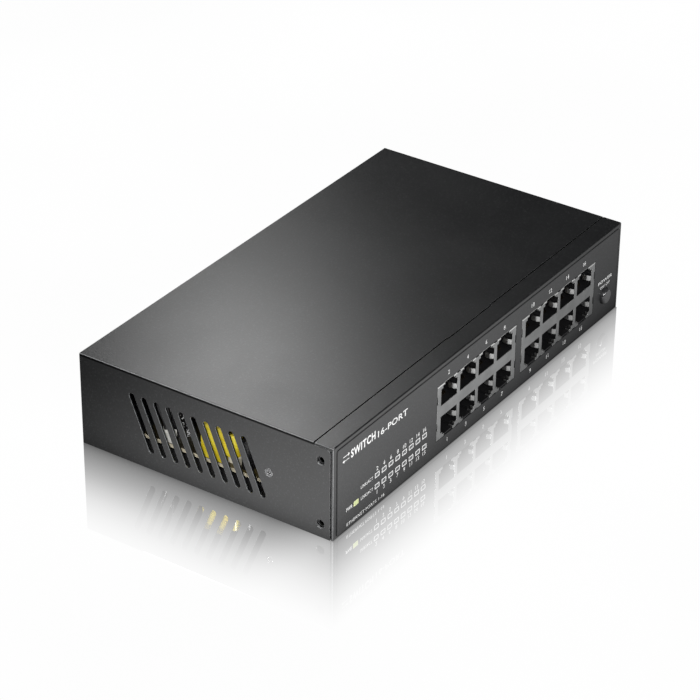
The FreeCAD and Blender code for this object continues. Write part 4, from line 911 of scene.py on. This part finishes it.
def table_glow(mat, x, y):
    """What the case sees of the table: bright towards the front left, darker to the back
    and right, darker right under the front."""
    depth = mat.ramp(y, over=(110.0, -50.0), to=(0.10, 2.05))
    across = mat.ramp(x, over=(-HALF_X, 150.0), to=(1.0, 0.38), smooth=False)
    ahead = mat.largest(mat.sub(FRONT, y), 0.0)
    fade = -1.0 / 28.0  # per mm ahead of the front
    dip = mat.mul(mat.math("EXPONENT", mat.mul(ahead, fade)),
                  mat.add(mat.ramp(x, over=(-125.0, -100.0), to=(0.0, 0.76)),
                          mat.ramp(x, over=(-100.0, 100.0), to=(0.0, 0.16), smooth=False)))
    return mat.mul(depth, across, mat.invert(dip))


def table_gloss():
    mat = Shader("table_gloss")
    geometry = mat.node("NewGeometry")
    mat.coords = mat.to_mm(geometry.outputs["Position"])
    x, y, _ = mat.split(mat.coords)
    white = mat.node("Emission")
    white.inputs["Strength"].default_value = 1.0
    haze = mat.noise(scale=0.004)
    mat.link(mat.mottle(haze, dark=(0.985, 0.985, 0.985), light=(1.0, 1.0, 1.0)),
             white.inputs["Color"])
    gloss = mat.node("BsdfGlossy")
    gloss.inputs["Roughness"].default_value = 0.015
    gloss.inputs["Color"].default_value = (1, 1, 1, 1)
    seen = mat.mix_shader(mirror_strength(mat, geometry, x, y),
                          white.outputs[0], gloss.outputs[0])
    lit = mat.node("Emission")
    mat.link(table_glow(mat, x, y), lit.inputs["Strength"])
    mat.link(mat.mix_shader(mat.ray("Camera"), lit.outputs[0], seen), mat.surface)
    return mat.material


def table():
    half = 2.5  # metres
    data = bpy.data.meshes.new("table")
    data.from_pydata([(-half, -half, 0), (half, -half, 0), (half, half, 0), (-half, half, 0)],
                     [], [(0, 1, 2, 3)])
    floor = bpy.data.objects.new("table", data)
    scene.collection.objects.link(floor)
    floor.location.z = -0.00002  # metres, just clear of the case
    data.materials.append(table_gloss())


table()


# ---------------------------------------------------------------- light
def light(name, kind, place, target, energy, **settings):
    data = bpy.data.lights.new(name, kind)
    data.energy = energy
    for key, value in settings.items():
        setattr(data, key, value)
    holder = bpy.data.objects.new(name, data)
    scene.collection.objects.link(holder)
    holder.location = Vector(place) * MM
    aim = Vector(target) - Vector(place)
    holder.rotation_euler = aim.to_track_quat("-Z", "Y").to_euler()


# name, place, target, radius, power in watts
for name, place, target, radius, power in (
        ("top_glow", (197, 213, 311), (-132, -33, 42), 55, 0.365),
        ("bend_light", (-400, 470, 850), (-109, 0, 42), 100, 2.0),
        ("top_glow_back", (321, 324, 292), (-20, 57, 42), 60, 0.06),
        ("key_front_left", (-850, -1000, 950), (0, -40, 20), 260, 20.0),
        ("fill_front", (200, -1200, 500), (0, -40, 20), 300, 5.0)):
    light(name, "AREA", place, target, power, shape="DISK", size=2 * radius * MM)
# a narrow beam from beside the camera that reaches in through the vents
light("vent_beam", "SPOT", place=(-790, -470, 640), target=(-109, 3, 18), energy=30.0,
      spot_size=math.radians(5.2), spot_blend=0.55, shadow_soft_size=0.03)


def studio():
    """A faint cool fill; past the table's far edge the eye meets the table's white."""
    world = bpy.data.worlds.new("studio")
    world.use_nodes = True
    nodes, links = world.node_tree.nodes, world.node_tree.links
    fill = nodes["Background"]
    far = nodes.new("ShaderNodeBackground")
    for node, color, strength in ((fill, (0.9, 0.95, 1.0, 1.0), 0.03),
                                  (far, (1.0, 1.0, 1.0, 1.0), 1.0)):
        node.inputs["Color"].default_value = color
        node.inputs["Strength"].default_value = strength
    ray = nodes.new("ShaderNodeLightPath")
    sky = nodes.new("ShaderNodeMixShader")
    links.new(ray.outputs["Is Camera Ray"], sky.inputs[0])
    links.new(fill.outputs[0], sky.inputs[1])
    links.new(far.outputs[0], sky.inputs[2])
    links.new(sky.outputs[0], nodes["World Output"].inputs["Surface"])
    scene.world = world


def camera():
    azimuth, elevation, roll = (math.radians(angle) for angle in (-56.052, 31.08, 0.582))
    back = Vector((math.sin(azimuth) * math.cos(elevation),
                   -math.cos(azimuth) * math.cos(elevation), math.sin(elevation)))
    level = Vector((0, 0, 1)).cross(back).normalized()
    upright_glint = back.cross(level)
    right = math.cos(roll) * level + math.sin(roll) * upright_glint
    up = -math.sin(roll) * level + math.cos(roll) * upright_glint
    data = bpy.data.cameras.new("camera")
    data.sensor_width = 36.0
    data.lens = 145.5
    data.clip_start = 0.05
    data.clip_end = 20.0
    holder = bpy.data.objects.new("camera", data)
    scene.collection.objects.link(holder)
    pose = Matrix((right, up, back)).transposed().to_4x4()
    pose.translation = Vector((-841.29, -560.752, 620.082)) * MM
    holder.matrix_world = pose
    scene.camera = holder


studio()
camera()
scene.view_settings.view_transform = "Standard"
scene.view_settings.look = "None"
scene.cycles.max_bounces = 8
scene.cycles.sample_clamp_indirect = 6.0
